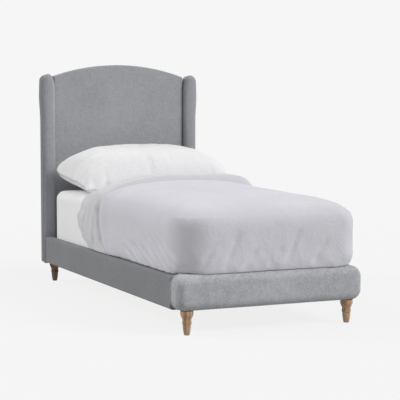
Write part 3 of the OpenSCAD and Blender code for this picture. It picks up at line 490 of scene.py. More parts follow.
def make_wing(side, mark):
    """A padded post with a bullet-shaped top; a seam runs round it behind its rounded front."""
    low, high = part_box("wing_cover_" + side)
    outer_x, inner_x = (high[0], low[0]) if mark > 0 else (low[0], high[0])
    middle = (Vector(low) + Vector(high)) / 2
    piece = start(bpy.ops.mesh.primitive_plane_add, "wing_upholstery_" + side,
                  (high[0] - low[0], high[2] - low[2], 1), size=1,
                  rotation=(math.pi / 2, 0, 0), location=(middle.x, low[1], middle.z))
    for x, z, radius, steps in ((outer_x, high[2], WING_OUTER_SHOULDER, 10),
                                (inner_x, high[2], WING_INNER_SHOULDER, 12),
                                (outer_x, low[2], WING_FOOT_EDGE, 5),
                                (inner_x, low[2], WING_FOOT_EDGE, 5)):
        rounded(piece, "VERT", lambda v: at(v.co.x, x) and at(v.co.z, z), radius, steps)
    # the inner shoulder is drawn down to its full height
    pick(piece, "VERT", lambda v: v.co.z > high[2] - WING_INNER_SHOULDER - 1e-5
         and abs(v.co.x - inner_x) < WING_INNER_SHOULDER + 1e-5)
    bpy.ops.transform.resize(value=(1, 1, WING_SHOULDER_H / WING_INNER_SHOULDER),
                             center_override=(middle.x, low[1], high[2]))
    seam_y = low[1] + WING_SEAM_BACK
    pick(piece, "FACE", lambda face: True)
    here = low[1]
    for stop in (seam_y - WING_SEAM_W, seam_y, seam_y + WING_SEAM_W, high[1]):
        bpy.ops.mesh.extrude_region_move(TRANSFORM_OT_translate={"value": (0, stop - here, 0)})
        here = stop
    rounded_at(piece, 1, high[1], WING_REAR_EDGE, 4)
    if not pick(piece, "FACE", lambda f: lies_at(f, 1, low[1])):
        pick(piece, "EDGE", lambda e: lies_at(e, 1, low[1]))
        bpy.ops.mesh.edge_face_add()
    rounded_at(piece, 1, low[1], WING_FRONT_EDGE, 8)
    width, half_flat = high[0] - low[0], (high[0] - low[0]) / 2 - WING_FRONT_EDGE
    cut_evenly(piece, 2, low[2], high[2] - WING_SHOULDER_H, 24)
    cut_evenly(piece, 0, middle.x - half_flat, middle.x + half_flat, 8)
    pick(piece, "VERT", lambda v: at(v.co.y, seam_y))
    bpy.ops.transform.shrink_fatten(value=-WING_SEAM_DEPTH)
    # the outer side behind the seam takes the darker side cloth: painted shade on the face turned
    # from the light
    finish_rigid(piece, WING_CLOTH, 50, SHADED_SIDE_CLOTH,
                 lambda face: face.center.y > seam_y and face.normal.x * mark > 0.3)
    for point in piece.data.vertices:
        spot = point.co
        ahead = max((seam_y - WING_SEAM_W - spot.y) / WING_SEAM_BACK, 0)
        spot.y += WING_CROWN * ahead * ((spot.x - middle.x) / (width / 2)) ** 2
        away = min(abs(spot.z - WING_BULGE_Z) / WING_BULGE_REACH, 1)
        outward = max((spot.x - inner_x) * mark / width, 0)
        spot.x += mark * WING_BULGE * outward * (1 - away * away) ** 2
    upholstered(piece, "wing_cover_" + side, "wing_padding_" + side)


# ---------------------------------------------------------------- side rails

RAIL_OUTER_EDGE = 0.014
RAIL_INNER_EDGE = 0.004
RAIL_INNER_GAIN = 0.0035
RAIL_BASE_EDGE = 0.003
RAIL_END_EDGE = 0.009
RAIL_WAVES = 0.0006


def make_rail(side, mark):
    """A padded side rail with its cloth drawn smooth over the rounded top."""
    low, high = (list(corner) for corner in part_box("rail_cover_" + side))
    (low if mark > 0 else high)[0] -= mark * RAIL_INNER_GAIN
    outer_x, inner_x = (high[0], low[0]) if mark > 0 else (low[0], high[0])
    piece = block("rail_upholstery_" + side, low, high)
    for x, z, radius, steps in ((outer_x, high[2], RAIL_OUTER_EDGE, 8),
                                (outer_x, low[2], RAIL_OUTER_EDGE, 8),
                                (inner_x, high[2], RAIL_INNER_EDGE, 6),
                                (inner_x, low[2], RAIL_BASE_EDGE, 3)):
        rounded(piece, "EDGE", lambda e: runs_along(e, 1) and lies_at(e, 0, x)
                and lies_at(e, 2, z), radius, steps)
    rounded_at(piece, 1, high[1], RAIL_END_EDGE, 6)
    cut_evenly(piece, 1, low[1], high[1], 60)
    # the rail is dressed in the darker side cloth: painted shade on the side of the bed
    finish_rigid(piece, SHADED_SIDE_CLOTH, 40)
    for point in piece.data.vertices:
        ends = min(point.co.y - low[1], high[1] - point.co.y)
        if ends > 0.02 and at(point.co.x, outer_x, 0.03):
            point.co.x -= mark * RAIL_WAVES * (1 + noise.noise(point.co * 9))
    upholstered(piece, "rail_cover_" + side, "rail_padding_" + side)


# ---------------------------------------------------------------- foot panel

FOOT_CORNER = 0.052
FOOT_FRONT_EDGE = 0.042
FOOT_REAR_EDGE = 0.004
FOOT_WAVES = 0.0012


def make_foot():
    """The padded foot panel, well rounded at its corners and its front."""
    low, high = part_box("foot_cover")
    piece = block("foot_upholstery", low, high)
    rounded(piece, "EDGE", lambda e: runs_along(e, 1), FOOT_CORNER, 14)
    rounded_at(piece, 1, low[1], FOOT_FRONT_EDGE, 12)
    rounded_at(piece, 1, high[1], FOOT_REAR_EDGE, 4)
    cut_evenly(piece, 0, low[0], high[0], 40)
    finish_rigid(piece, FOOT_CLOTH, 50)
    for point in piece.data.vertices:
        if point.co.y < high[1] - 0.02:
            point.co -= point.normal * FOOT_WAVES * 0.5 * (1 + noise.noise(point.co * 7))
    upholstered(piece, "foot_cover", "foot_padding")


# ------------------------------------------------------- layers of the bedding

HEM_BULGE = 0.006


def evenly(path, count):
    """The path's points again, count spaces apart, at even distances."""
    lengths = [0.0]
    for a, b in zip(path, path[1:]):
        lengths.append(lengths[-1] + math.dist(a, b))
    out, k = [], 0
    for step in range(count + 1):
        want = lengths[-1] * step / count
        while k < len(path) - 2 and lengths[k + 1] < want:
            k += 1
        span = lengths[k + 1] - lengths[k] or 1.0
        share = min(max((want - lengths[k]) / span, 0), 1)
        out.append(tuple(p + (q - p) * share for p, q in zip(path[k], path[k + 1])))
    return out


def soft_step(value, low, high):
    share = min(max((value - low) / (high - low), 0), 1)
    return share * share * (3 - 2 * share)


def quarter(steps, first=0, past=0):
    """An even quarter turn, point by point: how far in it has come, and how far on."""
    turns = [math.pi / 2 * i / steps for i in range(first, steps + past)]
    return [(1 - math.cos(a), math.sin(a)) for a in turns]


def half_u(half_w, foot_y, corner, head_y, sides, turns):
    """Down the left from the head and round the corner, without the corner's last point."""
    turn_y = foot_y + corner
    return [(-half_w, head_y + (turn_y - head_y) * i / sides) for i in range(sides)] \
        + [(-half_w + corner * way_in, turn_y - corner * on) for way_in, on in quarter(turns)]


def u_line(half_w, foot_y, left_corner, corner, head_y, sides, turns, across):
    """Round three sides of the bed: down the left from the head, round the foot, and back up."""
    start, end = left_corner - half_w, half_w - corner
    foot = [(start + (end - start) * i / across, foot_y) for i in range(across + 1)]
    right = [(-x, y) for x, y in half_u(half_w, foot_y, corner, head_y, sides, turns)]
    return half_u(half_w, foot_y, left_corner, head_y, sides, turns) + foot + right[::-1]


def round_line(half_w, foot_y, head_y, corner, sides, turns, across):
    """Right round the bed from the middle of the foot, left side first."""
    flat, run = half_w - corner, head_y - foot_y - 2 * corner
    left = [(-flat * i / across, foot_y) for i in range(across)]
    left += [(-half_w + corner * (1 - on), foot_y + corner * way_in)
             for way_in, on in quarter(turns)]
    left += [(-half_w, foot_y + corner + run * i / sides) for i in range(sides)]
    left += [(-half_w + corner * way_in, head_y - corner + corner * on)
             for way_in, on in quarter(turns)]
    left += [(-flat * (1 - i / across), head_y) for i in range(across + 1)]
    return left + [(-x, y) for x, y in reversed(left[1:-1])]


class Layer:
    """Rows of points, hem first, up to a ridge along the middle of the bed.

    An open row runs round three sides of the bed, and a ringed one round all four.
    """

    def __init__(self, rows, ringed=False):
        self.rows = [[Vector(p) for p in row] for row in rows]
        self.ringed = ringed
        self.last = len(rows[0]) - 1
        self.top = len(rows) - 1

    def beside(self, k, i):
        """The four neighbours: before and after along the row, and below and above it."""
        rows, last = self.rows, self.last
        if self.ringed:
            before, after = rows[k][i - 1], rows[k][(i + 1) % (last + 1)]
            across = rows[k][-i % (last + 1)]
        else:
            before, after = rows[k][max(i - 1, 0)], rows[k][min(i + 1, last)]
            across = rows[k][last - i]
        below = rows[max(k - 1, 0)][i]
        above = rows[k + 1][i] if k < self.top else across
        return before, after, below, above

    def outward(self, k, i):
        before, after, below, above = self.beside(k, i)
        turn = (after - before).cross(above - below)
        return turn.normalized() if turn.length > 1e-12 else Vector((0, 0, 1))

    def relaxed(self, first_row, times):
        """Smooths the layer from a row up, with its free ends kept."""
        ends = range(0, self.last + 1) if self.ringed else range(1, self.last)
        for _ in range(times):
            fresh = [[p.copy() for p in row] for row in self.rows]
            for k in range(first_row, self.top + 1):
                for i in ends:
                    fresh[k][i] = self.rows[k][i] * 0.5 + sum(self.beside(k, i), Vector()) * 0.125
            self.rows = fresh

    def ruffled(self, rise):
        """Moves each point outwards by what rise says of it."""
        self.rows = [[p + self.outward(k, i) * rise(p) for i, p in enumerate(row)]
                     for k, row in enumerate(self.rows)]


def walls(first, rows, n, ringed=True):
    """Faces between rows of n points each, from the first point's number on."""
    faces = []
    for k in range(rows - 1):
        for i in range(n if ringed else n - 1):
            a, b = first + k * n + i, first + k * n + (i + 1) % n
            faces.append((a, b, b + n, a + n))
    return faces


def cap(row, n, ringed=True):
    """Faces that close a row, from one half of it over to the other."""
    pairs = [(i, (n - i) % n) for i in range(n // 2 + 1)] if ringed else \
        [(i, n - 1 - i) for i in range((n + 1) // 2)]
    rings = [tuple(dict.fromkeys((a, c, d, b))) for (a, b), (c, d) in zip(pairs, pairs[1:])]
    return [tuple(row + k for k in ring) for ring in rings if len(ring) > 2]


def close_layer(name, material, outer, inner, bulge, steps):
    """One closed cloth form: an outer and an inner face, with a rounded rim between them."""
    rows, last, top, ringed = outer.rows, outer.last, outer.top, outer.ringed
    n = last + 1
    points = [p for row in rows + inner.rows for p in row]
    back = len(points) // 2
    faces = []
    for first in (0, back):
        faces += walls(first, top + 1, n, ringed) + cap(first + top * n, n, ringed)
    path = [(0, i) for i in range(n)]
    if not ringed:
        path = [(k, 0) for k in range(top, 0, -1)] + path + [(k, last) for k in range(1, top + 1)]
    chains = []
    for k, i in path:
        a, b = rows[k][i], inner.rows[k][i]
        away = Vector()
        if k == 0:
            away += (rows[0][i] - rows[1][i]).normalized()
        if not ringed and i in (0, last):
            away += (rows[k][i] - rows[k][1 if i == 0 else last - 1]).normalized()
        away.normalize()
        reach = min((a - b).length / 2, HEM_BULGE if k == 0 else bulge)
        chain = [k * n + i]
        for j in range(1, steps):
            turn = math.pi * j / steps
            points.append(a + (b - a) * (1 - math.cos(turn)) / 2 + away * reach * math.sin(turn))
            chain.append(len(points) - 1)
        chains.append(chain + [back + k * n + i])
    for one, two in zip(chains, chains[1:] + chains[:1]):
        faces += [(one[j], two[j], two[j + 1], one[j + 1]) for j in range(steps)]
    # a flat pattern in metres: how far round the bed, and how far up from the hem
    flat = []
    for layer in (outer, inner):
        climb = [0.0] * n
        for k in range(top + 1):
            run = 0.0
            for i in range(n):
                if i:
                    run += (layer.rows[0][i] - layer.rows[0][i - 1]).length
                if k:
                    climb[i] += (layer.rows[k][i] - layer.rows[k - 1][i]).length
                flat.append((run, climb[i]))
    for chain in chains:
        flat += [flat[chain[0]]] * (steps - 1)
    return cloth_mesh(name, material, points, faces, flat)


def closed_bag(name, material, outer, inner=None):
    """Rings along a bag, closed at both ends, or open at the first where it has an inner face."""
    n, rows = len(outer[0]), len(outer)
    points = [p for ring in outer + (inner or []) for p in ring]
    back, last = rows * n, (rows - 1) * n
    faces = walls(0, rows, n) + cap(last, n)
    if inner:
        faces += walls(back, rows, n) + cap(back + last, n)
        faces += [(i, (i + 1) % n, back + (i + 1) % n, back + i) for i in range(n)]
    else:
        faces += cap(0, n)
    return cloth_mesh(name, material, points, faces, [(p.x, p.y + p.z) for p in points])


def mesh_object(name, points, faces):
    """A new object, alone selected."""
    mesh = bpy.data.meshes.new(name)
    mesh.from_pydata([tuple(p) for p in points], [], faces)
    piece = bpy.data.objects.new(name, mesh)
    world.collection.objects.link(piece)
    bpy.ops.object.select_all(action="DESELECT")
    piece.select_set(True)
    bpy.context.view_layer.objects.active = piece
    return piece


def cloth_mesh(name, material, points, faces, flat):
    """A smooth closed form with its flat pattern, its faces outwards."""
    piece = mesh_object(name, points, faces)
    pattern = piece.data.uv_layers.new(name="flat")
    for loop in piece.data.loops:
        pattern.data[loop.index].uv = flat[loop.vertex_index]
    face_outwards()
    bpy.ops.object.shade_smooth()
    piece.data.materials.append(material)
    return piece


def drawn(p, x, y, z):
    """A place drawn out along each axis, for a pattern."""
    return Vector((p.x * x, p.y * y, p.z * z))


def ridges(point, seed):
    """Cloth-like relief from -1 to 1: soft hills with sharper valleys."""
    value = noise.noise(point + Vector((seed, seed * 0.7, -seed)))
    return 1 - 2 * abs(value) ** 0.7


def along_line(point, first, last, width):
    """1 on a line from one place to another, falling to 0 across its width and at its ends."""
    first, last = Vector(first), Vector(last)
    run = last - first
    share = (point - first).dot(run) / run.length_squared
    if not -0.2 < share < 1.2:
        return 0.0
    off = (point - (first + run * share)).length
    ends = soft_step(share, -0.2, 0.25) * (1 - soft_step(share, 0.75, 1.2))
    return math.exp(-(off / width) ** 2) * ends


def creased(point, lines):
    """How deep creases are at a place: each has its two ends, its width and its depth."""
    return sum(along_line(point, first, last, width) * depth
               for first, last, width, depth in lines)


# ------------------------------------------------------- mattress and its sheet

# Spaces up the section, along each side, round each corner and across half an end
MATTRESS_COUNTS = (96, 60, 12, 24)
SHEET_COUNTS = (104, 100, 26, 36)
MATTRESS_CORNER = 0.070
MATTRESS_EDGE = 0.050
MATTRESS_BASE_EDGE = 0.014
MATTRESS_CROWN = 0.005
CROWN_FLAT = 0.020
MATTRESS_INSET = 0.0024  # the mattress's own face, under its sheet
SHEET_THICK = 0.0013
SHEET_HEM = 0.080
SHEET_CREASE = 0.0006
SHEET_GATHER = 0.0004
GATHERS = 420  # waves per metre round the corners, times 2 pi
EDGE_POINTS = 24  # round its upper edge, and again over its crown
BASE_EDGE_POINTS = 12
TAPE_W = 0.016
TAPE_PROUD = 0.0016


def over_edge(top, edge, inset, reach):
    """Round the upper edge and up the crown to the ridge, as (height, distance in)."""
    flat = inset + edge
    return [(top - edge * (1 - on), inset + edge * way_in)
            for way_in, on in quarter(EDGE_POINTS, 0, 1)] \
        + [(top + MATTRESS_CROWN * on, flat + (reach - flat) * (i + 1) / EDGE_POINTS)
           for i, (_, on) in enumerate(quarter(EDGE_POINTS, 1, 1))]


def mattress_section(low, high, inset, hem):
    """The side of the mattress as (height, distance in), from its underside to its ridge."""
    edge, base_edge = MATTRESS_EDGE - inset, MATTRESS_BASE_EDGE - inset
    base, top = low[2] + inset, high[2] - MATTRESS_CROWN - inset
    return [(base, hem)] + [(base + base_edge * way_in, inset + base_edge * (1 - on))
                            for way_in, on in quarter(BASE_EDGE_POINTS, 0, 1)] \
        + over_edge(top, edge, inset, high[0] - CROWN_FLAT)


def mattress_layer(low, high, inset, hem, steps, sides, turns, across):
    rows = []
    for z, way_in in evenly(mattress_section(low, high, inset, hem), steps):
        half_w = high[0] - way_in
        corner = max(MATTRESS_CORNER - way_in, min(0.02, half_w * 0.6))
        rows.append([(x, y, z) for x, y in round_line(
            half_w, low[1] + way_in, high[1] - way_in, corner, sides, turns, across)])
    return Layer(rows, ringed=True)


def make_mattress():
    """The mattress itself: quilted ticking, with a tape round its upper and lower edges."""
    low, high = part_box("fitted_sheet")
    layer = mattress_layer(low, high, MATTRESS_INSET, high[0] - CROWN_FLAT, *MATTRESS_COUNTS)
    tapes = (low[2] + MATTRESS_EDGE, high[2] - MATTRESS_CROWN - MATTRESS_EDGE)

    def sink(p):
        beside = min(abs(p.z - tape) for tape in tapes)
        inside = tapes[0] < p.z < tapes[1]
        return -TAPE_PROUD * soft_step(beside, TAPE_W * 0.4, TAPE_W * 0.6) if inside else 0.0

    layer.ruffled(sink)
    piece = closed_bag("mattress_body", TICKING, layer.rows)
    stands_for(piece, "mattress", "ticking", "mattress")
    return piece


def make_sheet(mattress):
    """The fitted sheet, drawn over the mattress and gathered under its corners."""
    low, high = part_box("fitted_sheet")
    blanket_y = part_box("blanket")[1][1]

    def rise(p):
        """Soft creases where the sheet shows, and gathers low on the corners."""
        shown = soft_step(p.y, blanket_y - 0.20, blanket_y - 0.05)
        corner = soft_step(min(abs(p.x) - high[0], 0) + 0.06, 0, 0.05) \
            * soft_step(max(p.y - high[1], low[1] - p.y) + 0.10, 0, 0.08)
        side = 1 - soft_step(p.z, high[2] - 0.07, high[2] - 0.02)
        level = 0.5 + 0.5 * noise.noise(drawn(p, 4, 6, 3))
        folds = ridges(drawn(p, 6, 7, 2.2), 4.0)
        gathers = math.sin(GATHERS * (p.x + p.y)) * corner \
            * (1 - soft_step(p.z, low[2] + 0.03, low[2] + 0.16))
        return -SHEET_CREASE * side * shown * (1 - folds) * level \
            - SHEET_GATHER * (1 - gathers) * corner

    outer, inner = (mattress_layer(low, high, inset, SHEET_HEM, *SHEET_COUNTS)
                    for inset in (0.0, SHEET_THICK))
    outer.ruffled(rise)
    piece = close_layer("fitted_sheet_cloth", SHEET_CLOTH, outer, inner, SHEET_THICK / 2, 2)
    stands_for(piece, "mattress", "linen", "fitted_sheet")


# ------------------------------------------------------------- blanket and duvet

HANG_Z = 0.4553
LAYER_CLEAR = 0.0003
LIFT = 0.0004  # what a piece stands off what carries it
FOOT_HEM_LEVEL_Y = -1.010
FOOT_HEM_DIP = 0.012
FOOT_HEM_DIP_RUN = 0.050
FOOT_STEP_RUN = 0.030


def head_edge(points, z):
    """How far towards the head an edge lies at a height, eased between known places."""
    if z <= points[0][0]:
        return points[0][1]
    for (z0, y0), (z1, y1) in zip(points, points[1:]):
        if z <= z1:
            return y0 + (y1 - y0) * soft_step(z, z0, z1)
    return points[-1][1]


def hem_height(y, side_z, foot_z, foot_y):
    """The hem steps up on to the foot panel, and dips a little over its rounded front."""
    dip = FOOT_HEM_DIP * min(max((FOOT_HEM_LEVEL_Y - y) / FOOT_HEM_DIP_RUN, 0), 1)
    return side_z + (foot_z - side_z) * (1 - soft_step(y, foot_y, foot_y + FOOT_STEP_RUN)) - dip


BLANKET_HEAD_LINE = ((0.274, 0.262), (0.340, 0.362), (0.400, 0.415), (0.444, 0.427),
                     (0.500, 0.367), (0.560, 0.351))
BLANKET_STEPS = 84  # from hem to ridge
BLANKET_COUNTS = (120, 10, 20)  # along each side, round each corner, across the foot
BLANKET_THICK = 0.0079
BLANKET_HEM_UP = 0.004
BLANKET_LOW_RUN = 0.12
BLANKET_FOOT_UP = 0.013
BLANKET_RIDGE = 0.020
BLANKET_RIM = 0.045
BLANKET_RIM_THIN = 0.004
BLANKET_PLUMP = 0.114
BLANKET_LEFT_POWER = 2.6
BLANKET_RIGHT_POWER = 9
BLANKET_SIDE_PLUMP = 0.031
BLANKET_GROOVE = 0.016
BLANKET_RISE_RUN = 0.060
BLANKET_SIDE_RUN = 0.050
BLANKET_RIGHT_SPREAD = 0.014
BLANKET_FOOT_IN = 0.004
BLANKET_RIM_BULGE = 0.050
BLANKET_FOLD = 0.0035
BLANKET_CREASE = 0.004
BLANKET_CREASES = (((-0.48, 0.12, 0.47), (-0.48, 0.17, 0.29), 0.013, 2.4),
                   ((-0.48, 0.24, 0.50), (-0.48, 0.33, 0.36), 0.014, 1.2))
RIM_STEPS = 8  # round the rim of the blanket and of the duvet


def layer_rows(path, half_w, foot_y, corners, head_of, counts, least_corner=0.03):
    """Rows round three sides at the heights and distances of a section."""
    rows = []
    for z, inset in path:
        least = min(least_corner, (half_w - inset) * 0.6)
        turns = [max(corner - inset, least) for corner in corners]
        rows.append([(x, y, z) for x, y in u_line(
            half_w - inset, foot_y + inset, *turns, head_of(z, inset), *counts)])
    return Layer(rows)


def lying_face(off, edge, hem_z, ridge, steps, head_of, counts):
    """A face that follows the made mattress, so far off its sheet, up to its ridge."""
    low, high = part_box("fitted_sheet")
    half_w = high[0] + off
    section = [(hem_z, 0.0)] + over_edge(high[2] - MATTRESS_CROWN + off, edge, 0.0, half_w - ridge)
    return layer_rows(evenly(section, steps), half_w, low[1] - off, [MATTRESS_CORNER + off] * 2,
                      head_of, counts)


def make_blanket():
    """The blanket: thin under the duvet, plumped and rounded where it shows at the head."""
    base_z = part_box("blanket")[0][2] + LIFT
    duvet_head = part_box("duvet")[1][1]
    foot_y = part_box("fitted_sheet")[0][1] + BLANKET_FOOT_IN
    half_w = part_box("fitted_sheet")[1][0] + LAYER_CLEAR + BLANKET_THICK
    hem_z = base_z + BLANKET_HEM_UP

    def head_of(z, inset):
        rim = BLANKET_RIM_THIN + (BLANKET_RIM - BLANKET_RIM_THIN) * soft_step(inset, 0.0, 0.08)
        return head_edge(BLANKET_HEAD_LINE, z) - rim

    outer, inner = (lying_face(LAYER_CLEAR + thick, MATTRESS_EDGE + thick, hem_z, BLANKET_RIDGE,
                               BLANKET_STEPS, head_of, BLANKET_COUNTS)
                    for thick in (BLANKET_THICK, 0.0))
    for row in outer.rows + inner.rows:
        for p in row:
            p.z = max(p.z, hem_height(p.y, hem_z, hem_z + BLANKET_FOOT_UP, foot_y))

    def plump(p):
        """How far the strip is swollen at a place, from 0 to 1."""
        level = soft_step(p.z, HANG_Z - 0.02, HANG_Z + 0.05)
        start = head_edge(DUVET_HEAD_LINE, p.z) + BLANKET_GROOVE * level
        run = BLANKET_SIDE_RUN + (BLANKET_RISE_RUN - BLANKET_SIDE_RUN) * level
        end = head_edge(BLANKET_HEAD_LINE, p.z)
        droop = 0.30 * soft_step(p.y, end - 0.13, end - 0.02)
        return soft_step(p.y, start, start + run) * (1 - droop)

    for p in (p for row in outer.rows for p in row):
        swell = plump(p)
        side = min(abs(p.x) / (half_w + (BLANKET_RIGHT_SPREAD if p.x > 0 else 0)), 1)
        low_down = soft_step(p.z, base_z, base_z + BLANKET_LOW_RUN)
        p.x *= 1 + BLANKET_SIDE_PLUMP / half_w * swell * (0.6 + 0.4 * low_down)
        flat = side ** (BLANKET_LEFT_POWER if p.x < 0 else BLANKET_RIGHT_POWER)
        p.z += BLANKET_PLUMP * swell * (1 - flat) * soft_step(p.z, HANG_Z, HANG_Z + 0.08)

    def rise(p):
        """Soft folds and puffs where the strip shows, and two creases low on its left."""
        shown = soft_step(p.y, duvet_head + 0.01, duvet_head + 0.09)
        if not shown:
            return 0.0
        side = 1 - soft_step(p.z, 0.52, 0.60)
        folds = ridges(Vector((p.x * 3, p.y * 9 + p.z * 3, p.z * 4)), 7.0)
        puffs = noise.noise(p * 6.0 + Vector((5, 1, 2)))
        return shown * (BLANKET_FOLD * (0.55 * (folds - 0.5) * side + 0.5 * puffs - 0.3)
                        - BLANKET_CREASE * creased(p, BLANKET_CREASES))

    outer.ruffled(rise)
    piece = close_layer("blanket_fold", BLANKET_CLOTH, outer, inner, BLANKET_RIM_BULGE, RIM_STEPS)
    stands_for(piece, "blanket", "quilt", "blanket")


DUVET_STEPS = 92  # from hem to ridge
DUVET_COUNTS = (96, 22, 78)  # along each side, round each corner, across the foot
DUVET_SMOOTH_FROM = 34  # steps from here up are smoothed, so often:
DUVET_SMOOTHINGS = 24
DUVET_HEM_ROWS = 12
DUVET_CORNERS = (0.180, 0.090)
DUVET_LEAST_CORNER = 0.10
DUVET_OFF = 0.0100  # its lining, off the sheet
DUVET_RIDGE = 0.012
DUVET_HEM_UP = 0.0070
DUVET_FOOT_UP = 0.0085
DUVET_FOLDS = 0.004  # room for its folds inside its box
DUVET_STEP_Y = -0.955
DUVET_HEM_WAVE = 0.0030
DUVET_CREASE = 0.0095
DUVET_HEM_IN = 0.012
DUVET_HEM_RISE = 0.070
DUVET_EDGE_POWER = 0.75
DUVET_CROWN_POWER = 1.45
DUVET_FOOT_DROP = 0.014
DUVET_FLAT_SHARE = 0.85
DUVET_RIM = 0.030
DUVET_HEAD_LINE = ((0.276, -0.051), (0.349, 0.019), (0.425, 0.045), (0.512, 0.036), (0.60, 0.042))
DUVET_RIM_THIN = 0.012
DUVET_RIM_BULGE = 0.034
DUVET_BASE_UP = 0.0005
DUVET_HANG_POINTS = 24  # down its hanging side
DUVET_TOP_POINTS = 90  # over its top
DUVET_ROLL = 0.006
DUVET_PUFF = 0.0042
DUVET_DIMPLE = 0.0016
DUVET_FOLD = 0.0046
DUVET_SMALL_FOLD = 0.0020
SIDE_CREASES = 8
FOOT_CREASES = 6


def duvet_creases(side_x, foot_y):
    """The creases that show: slanting ones low by the foot's corner, and soft ones on the foot."""
    lines = []
    for step in range(SIDE_CREASES):
        y = -0.30 - 0.075 * step - 0.012 * math.sin(step * 2.3)
        z = 0.355 + 0.014 * step + 0.016 * math.sin(step * 1.7)
        run = 0.15 + 0.012 * step
        lines += [((x, y, z), (x, y - run, 0.283), 0.011 + 0.002 * (step % 3), 1.0)
                  for x in (-side_x, side_x)]
    for step in range(FOOT_CREASES):
        x = -0.30 + 0.115 * step + 0.02 * math.sin(step * 2.9)
        z = 0.42 + 0.05 * math.sin(step * 1.9)
        lines.append(((x, foot_y, z), (x - 0.07, foot_y, 0.31), 0.016, 0.8))
    return lines


def make_duvet():
    """The duvet: full over the bed, rounded at its head edge, creased where it hangs."""
    low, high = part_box("duvet")
    half_w, foot_y, head_y = high[0] - DUVET_FOLDS / 2, low[1] + DUVET_FOLDS, high[1]
    base_z, hem_z = low[2] + DUVET_BASE_UP, low[2] + DUVET_HEM_UP
    rise_h = high[2] - HANG_Z - DUVET_FOLDS
    crown = half_w - DUVET_HEM_IN
    creases = duvet_creases(half_w - DUVET_FOLDS, foot_y + DUVET_FOLDS)
    outline = []
    for i in range(DUVET_HANG_POINTS + 1):
        z = hem_z + (HANG_Z - hem_z) * i / DUVET_HANG_POINTS
        above = (z - base_z) / DUVET_HEM_RISE
        outline.append((z, DUVET_HEM_IN * max(1 - above, 0) ** 2))
    outline += [(HANG_Z + rise_h * on ** DUVET_EDGE_POWER, crown * way_in ** DUVET_CROWN_POWER)
                for way_in, on in quarter(DUVET_TOP_POINTS, 1, 1)]

    def head_of(z, inset):
        return head_edge(DUVET_HEAD_LINE, z) - DUVET_RIM_THIN \
            - (DUVET_RIM - DUVET_RIM_THIN) * soft_step(inset, 0.0, 0.10)

    outer = layer_rows(evenly(outline, DUVET_STEPS), half_w, foot_y, DUVET_CORNERS, head_of,
                       DUVET_COUNTS, DUVET_LEAST_CORNER)
    inner = lying_face(DUVET_OFF, MATTRESS_EDGE + DUVET_OFF, hem_z, DUVET_RIDGE, DUVET_STEPS,
                       head_of, DUVET_COUNTS)
    flat_y = DUVET_FLAT_SHARE * foot_y
    for row in outer.rows:
        for p in row:
            p.z -= DUVET_FOOT_DROP * max(p.z - HANG_Z, 0) / rise_h * min(max(p.y / flat_y, 0), 1)
    outer.relaxed(DUVET_SMOOTH_FROM, DUVET_SMOOTHINGS)
    for layer in (outer, inner):
        for k in range(DUVET_HEM_ROWS):
            for p in layer.rows[k]:
                stepped = hem_height(p.y, 0.0, DUVET_FOOT_UP, DUVET_STEP_Y)
                wave = DUVET_HEM_WAVE * max(noise.noise(Vector((p.x * 7, p.y * 7, 2.0))) + 0.3, 0) \
                    * soft_step(p.y, -1.0, -0.9)
                p.z += (stepped + wave) * (1 - k / DUVET_HEM_ROWS)

    def rise(p):
        """Puffs on top; folds that deepen towards the hem where it hangs."""
        hanging = 1 - soft_step(p.z, HANG_Z - 0.04, HANG_Z + 0.09)
        head = 1 - 0.7 * soft_step(p.y, head_y - 0.12, head_y - 0.02)
        puffs = noise.noise(drawn(p, 2.4, 2.1, 2) + Vector((3, 8, 1)))
        dimples = noise.noise(drawn(p, 8, 7, 6) + Vector((1, 2, 9)))
        around = math.atan2(p.x, p.y + 0.55) * 0.55
        swing = Vector((p.x * 5.5 + p.z * 1.8, p.y * 5.5 - p.z * 2.6, p.z * 1.4 + around))
        folds = ridges(swing, 3.0)
        small = ridges(Vector((p.x * 13 + p.z * 5, p.y * 13 - p.z * 7, p.z * 4)), 11.0)
        deep = hanging * (0.35 + 0.65 * soft_step(HANG_Z - p.z, -0.05, 0.15))
        edge = head_edge(DUVET_HEAD_LINE, p.z)
        roll = soft_step(p.y, edge - 0.13, edge - 0.045)
        return head * (DUVET_PUFF * (puffs - 0.4) + DUVET_DIMPLE * dimples) + DUVET_ROLL * roll \
            + deep * (DUVET_FOLD * (folds - 0.75) + DUVET_SMALL_FOLD * (small - 0.6)) \
            - DUVET_CREASE * creased(p, creases)

    outer.ruffled(rise)
    piece = close_layer("duvet_cover_filled", DUVET_CLOTH, outer, inner, DUVET_RIM_BULGE,
                        RIM_STEPS)
    stands_for(piece, "duvet", "duvet_cover", "duvet")


# ---------------------------------------------------------------------- pillow

PILLOW_W = 0.920
PILLOW_L = 0.580
PILLOW_TOP = 0.196
PILLOW_UNDER = 0.084
PILLOW_TILT = math.radians(6)
PILLOW_FRONT_LIFT = 0.038
PILLOW_REAR_GAP = 0.062
PILLOW_DRAW = 0.07
PILLOW_FRONT_DRAW = 0.03
PILLOW_TIP_DRAW = 0.06
PILLOW_TIP_POWER = 8
PILLOW_TIP_LIFT = 0.034
PILLOW_RIGHT_GAIN = 0.042
PILLOW_CORNER_BACK = 0.014
PILLOW_STATIONS = 84
PILLOW_GIRTH = 60
PILLOW_END = 0.9999  # the end rings stay this side of a point
FILL_HALF = 0.004  # half the flat case's thickness before it is blown up
FILL_FRAMES = 40
FILL_SMOOTHINGS = 60
CASE_THICK = 0.0014
PUCKER_MOST = 0.004
FILLING_INSET = 0.007
PILLOW_SOFT = 0.005
PILLOW_FOLD = 0.0035
PILLOW_CREASES = (((-0.33, -0.29, 0.0), (-0.27, -0.12, 0.07), 0.022, 0.012),
                  ((-0.39, -0.20, 0.01), (-0.30, 0.02, 0.05), 0.020, 0.006),
                  ((0.36, -0.28, 0.0), (0.28, -0.10, 0.06), 0.020, 0.008))


